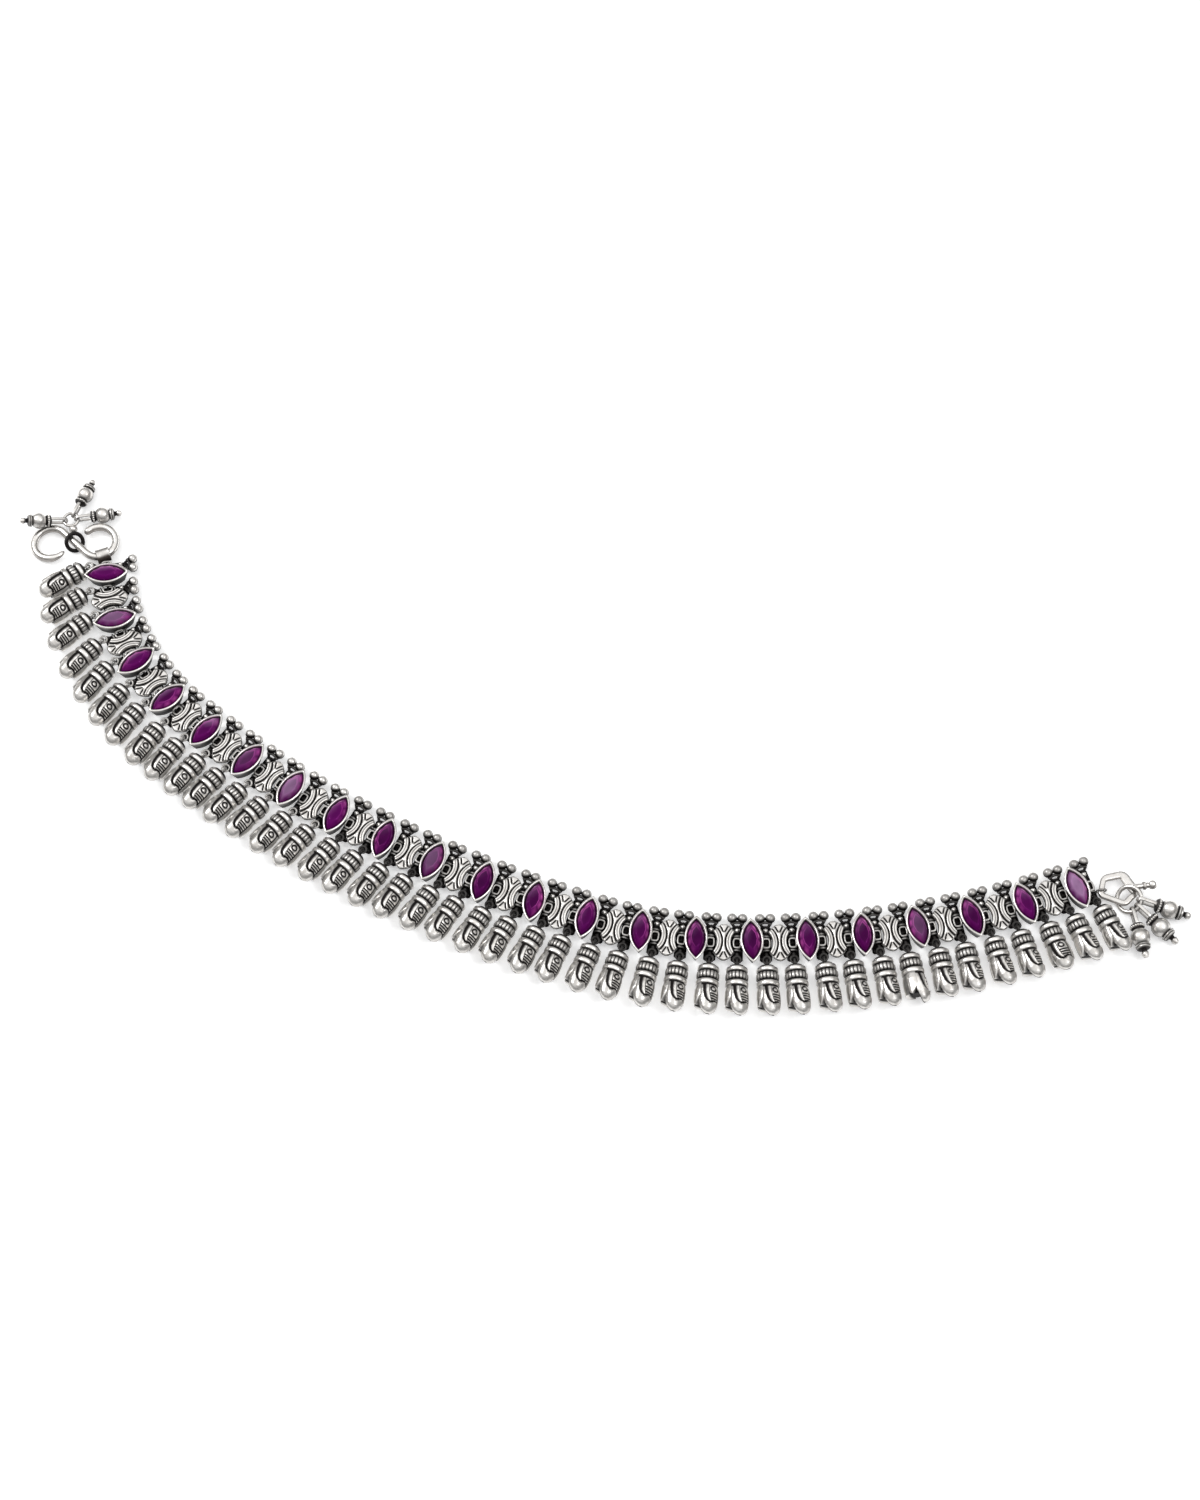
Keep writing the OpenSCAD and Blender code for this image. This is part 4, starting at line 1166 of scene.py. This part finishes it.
# far end: ring ear and eye, five-sided link, the ring that the hook fastens into, three spindle drops
tail = {
    "way": 8, "eyeX": 1.95, "eyeHole": 0.8, "eyeWire": 0.36,
    "linkOff": 0.9, "linkZ": 1.55, "linkWay": -14, "linkT": 1.0,
    # corners of the link with the widths of the bars after them
    "corners": ((0, -1.8, 1.14), (4.9, -2.5, 1.24), (6.6, 0.3, 1.84), (3.4, 3.5, 1.44), (0, 1.8, 1.14)),
    "cornerCut": 0.75,
    "ringFrom": (5.03, -2.74), "ringZ": 1.85, "ringWay": -60, "ringTilt": 35, "ringR": 2.5, "ringWire": 0.92,
    "rod": (124, 8),              # place round the ring, direction
    "cuffX": 1.9, "knobX": 3.8, "knobD": 1.9,        # places along the rod
    "drops": ((-20, -80), (15, -46), (49, -16)),     # place round the ring, direction
}
tailAt = joints[-1] + ear["y"] * along(barHeadings[-1] - 90)
linkAt = tailAt + tail["eyeX"] * along(tail["way"]) + tail["linkOff"] * along(tail["linkWay"] + 90)
endRingSpot = fixed([*(linkAt + tail["ringFrom"]), tail["ringZ"]], turn("z", tail["ringWay"]),
                    turn("x", tail["ringTilt"]))


def makeEndEye():
    # the ring ear and a larger eye beside it, both upright
    eye = ring(tail["eyeHole"] + tail["eyeWire"] / 2, tail["eyeWire"], 24, 8, 0.35)
    large = moved(swung(eye, "x", 90), tail["eyeX"], 0, tail["linkZ"] - band["barZ"])
    spot = fixed([*tailAt, band["barZ"]], turn("z", tail["way"]))
    makePiece("endEye", [repeat(joined(part), spot) for part in (earRing(0), large)], agedSilver,
              ["end_eye"])


def makeEndLink():
    # bars between rounded corners, (1 - t)^2 a + 2 t (1 - t) corner + t^2 b; the width runs from bar to bar
    rows = np.array(tail["corners"], float)
    corners, widths = rows[:, :2], rows[:, 2]
    t = np.linspace(0, 1, 6)[:, None]
    path, radius = [], []
    for k, corner in enumerate(corners):
        a, b = (corner + tail["cornerCut"] * (other - corner) / np.linalg.norm(other - corner)
                for other in (corners[k - 1], corners[(k + 1) % len(corners)]))
        path.append((1 - t) ** 2 * a + 2 * t * (1 - t) * corner + t ** 2 * b)
        radius.append(np.interp(t[:, 0], [0, 1], [widths[k - 1], widths[k]]) / 2)
    shape = tube(atHeight(np.vstack(path), 0), np.concatenate(radius), 14, 0.1, closed=True,
                 high=tail["linkT"] / 2, square=0.6)
    spot = fixed([*linkAt, tail["linkZ"]], turn("z", tail["linkWay"]))
    makePiece("endLink", [repeat(joined(shape), spot)], brightSilver, ["end_link"],
              frontShade=0.35)


def onEndRing(a):
    # the point r * along(a) of the end ring
    return within(endRingSpot, fixed([*(tail["ringR"] * along(a)), 0]))["at"][0]


def makeEndRing():
    # the ring, and on it a short rod with a cuff and a knob
    place, way = tail["rod"]
    rod = tube([[0, 0, 0], [0.1, 0, 0], [3.4, 0, 0], [3.6, 0, 0]], [0.3, 0.55, 0.55, 0.5], 14, 0.2)
    knob = moved(ball(tail["knobD"], 20, 14, -0.6), tail["knobX"], 0, 0)
    cuff = lathe([(0.3, 0), (0.8, 0.05), (0.86, 0.4), (0.7, 0.6), (0.3, 0.6)], 20, [0.9, 0.3, 0.05, 0.6, 1])
    cuff = moved(swung(cuff, "y", 90), tail["cuffX"], 0, 0)
    hoop = ring(tail["ringR"], tail["ringWire"], 48, 12, 0.1)
    makePiece("endRing", [repeat(joined(hoop), endRingSpot),
                          repeat(joined(rod, knob, cuff), fixed(onEndRing(place), turn("z", way)))],
              brightSilver, ["end_ring"], frontShade=0.35)


makeEndEye()
makeEndLink()
makeEndRing()
for k, (place, way) in enumerate(tail["drops"], 1):
    makeSpindle("endDrop%d" % k, "end_drop_%02d" % k, onEndRing(place), way)
print("both ends ready")
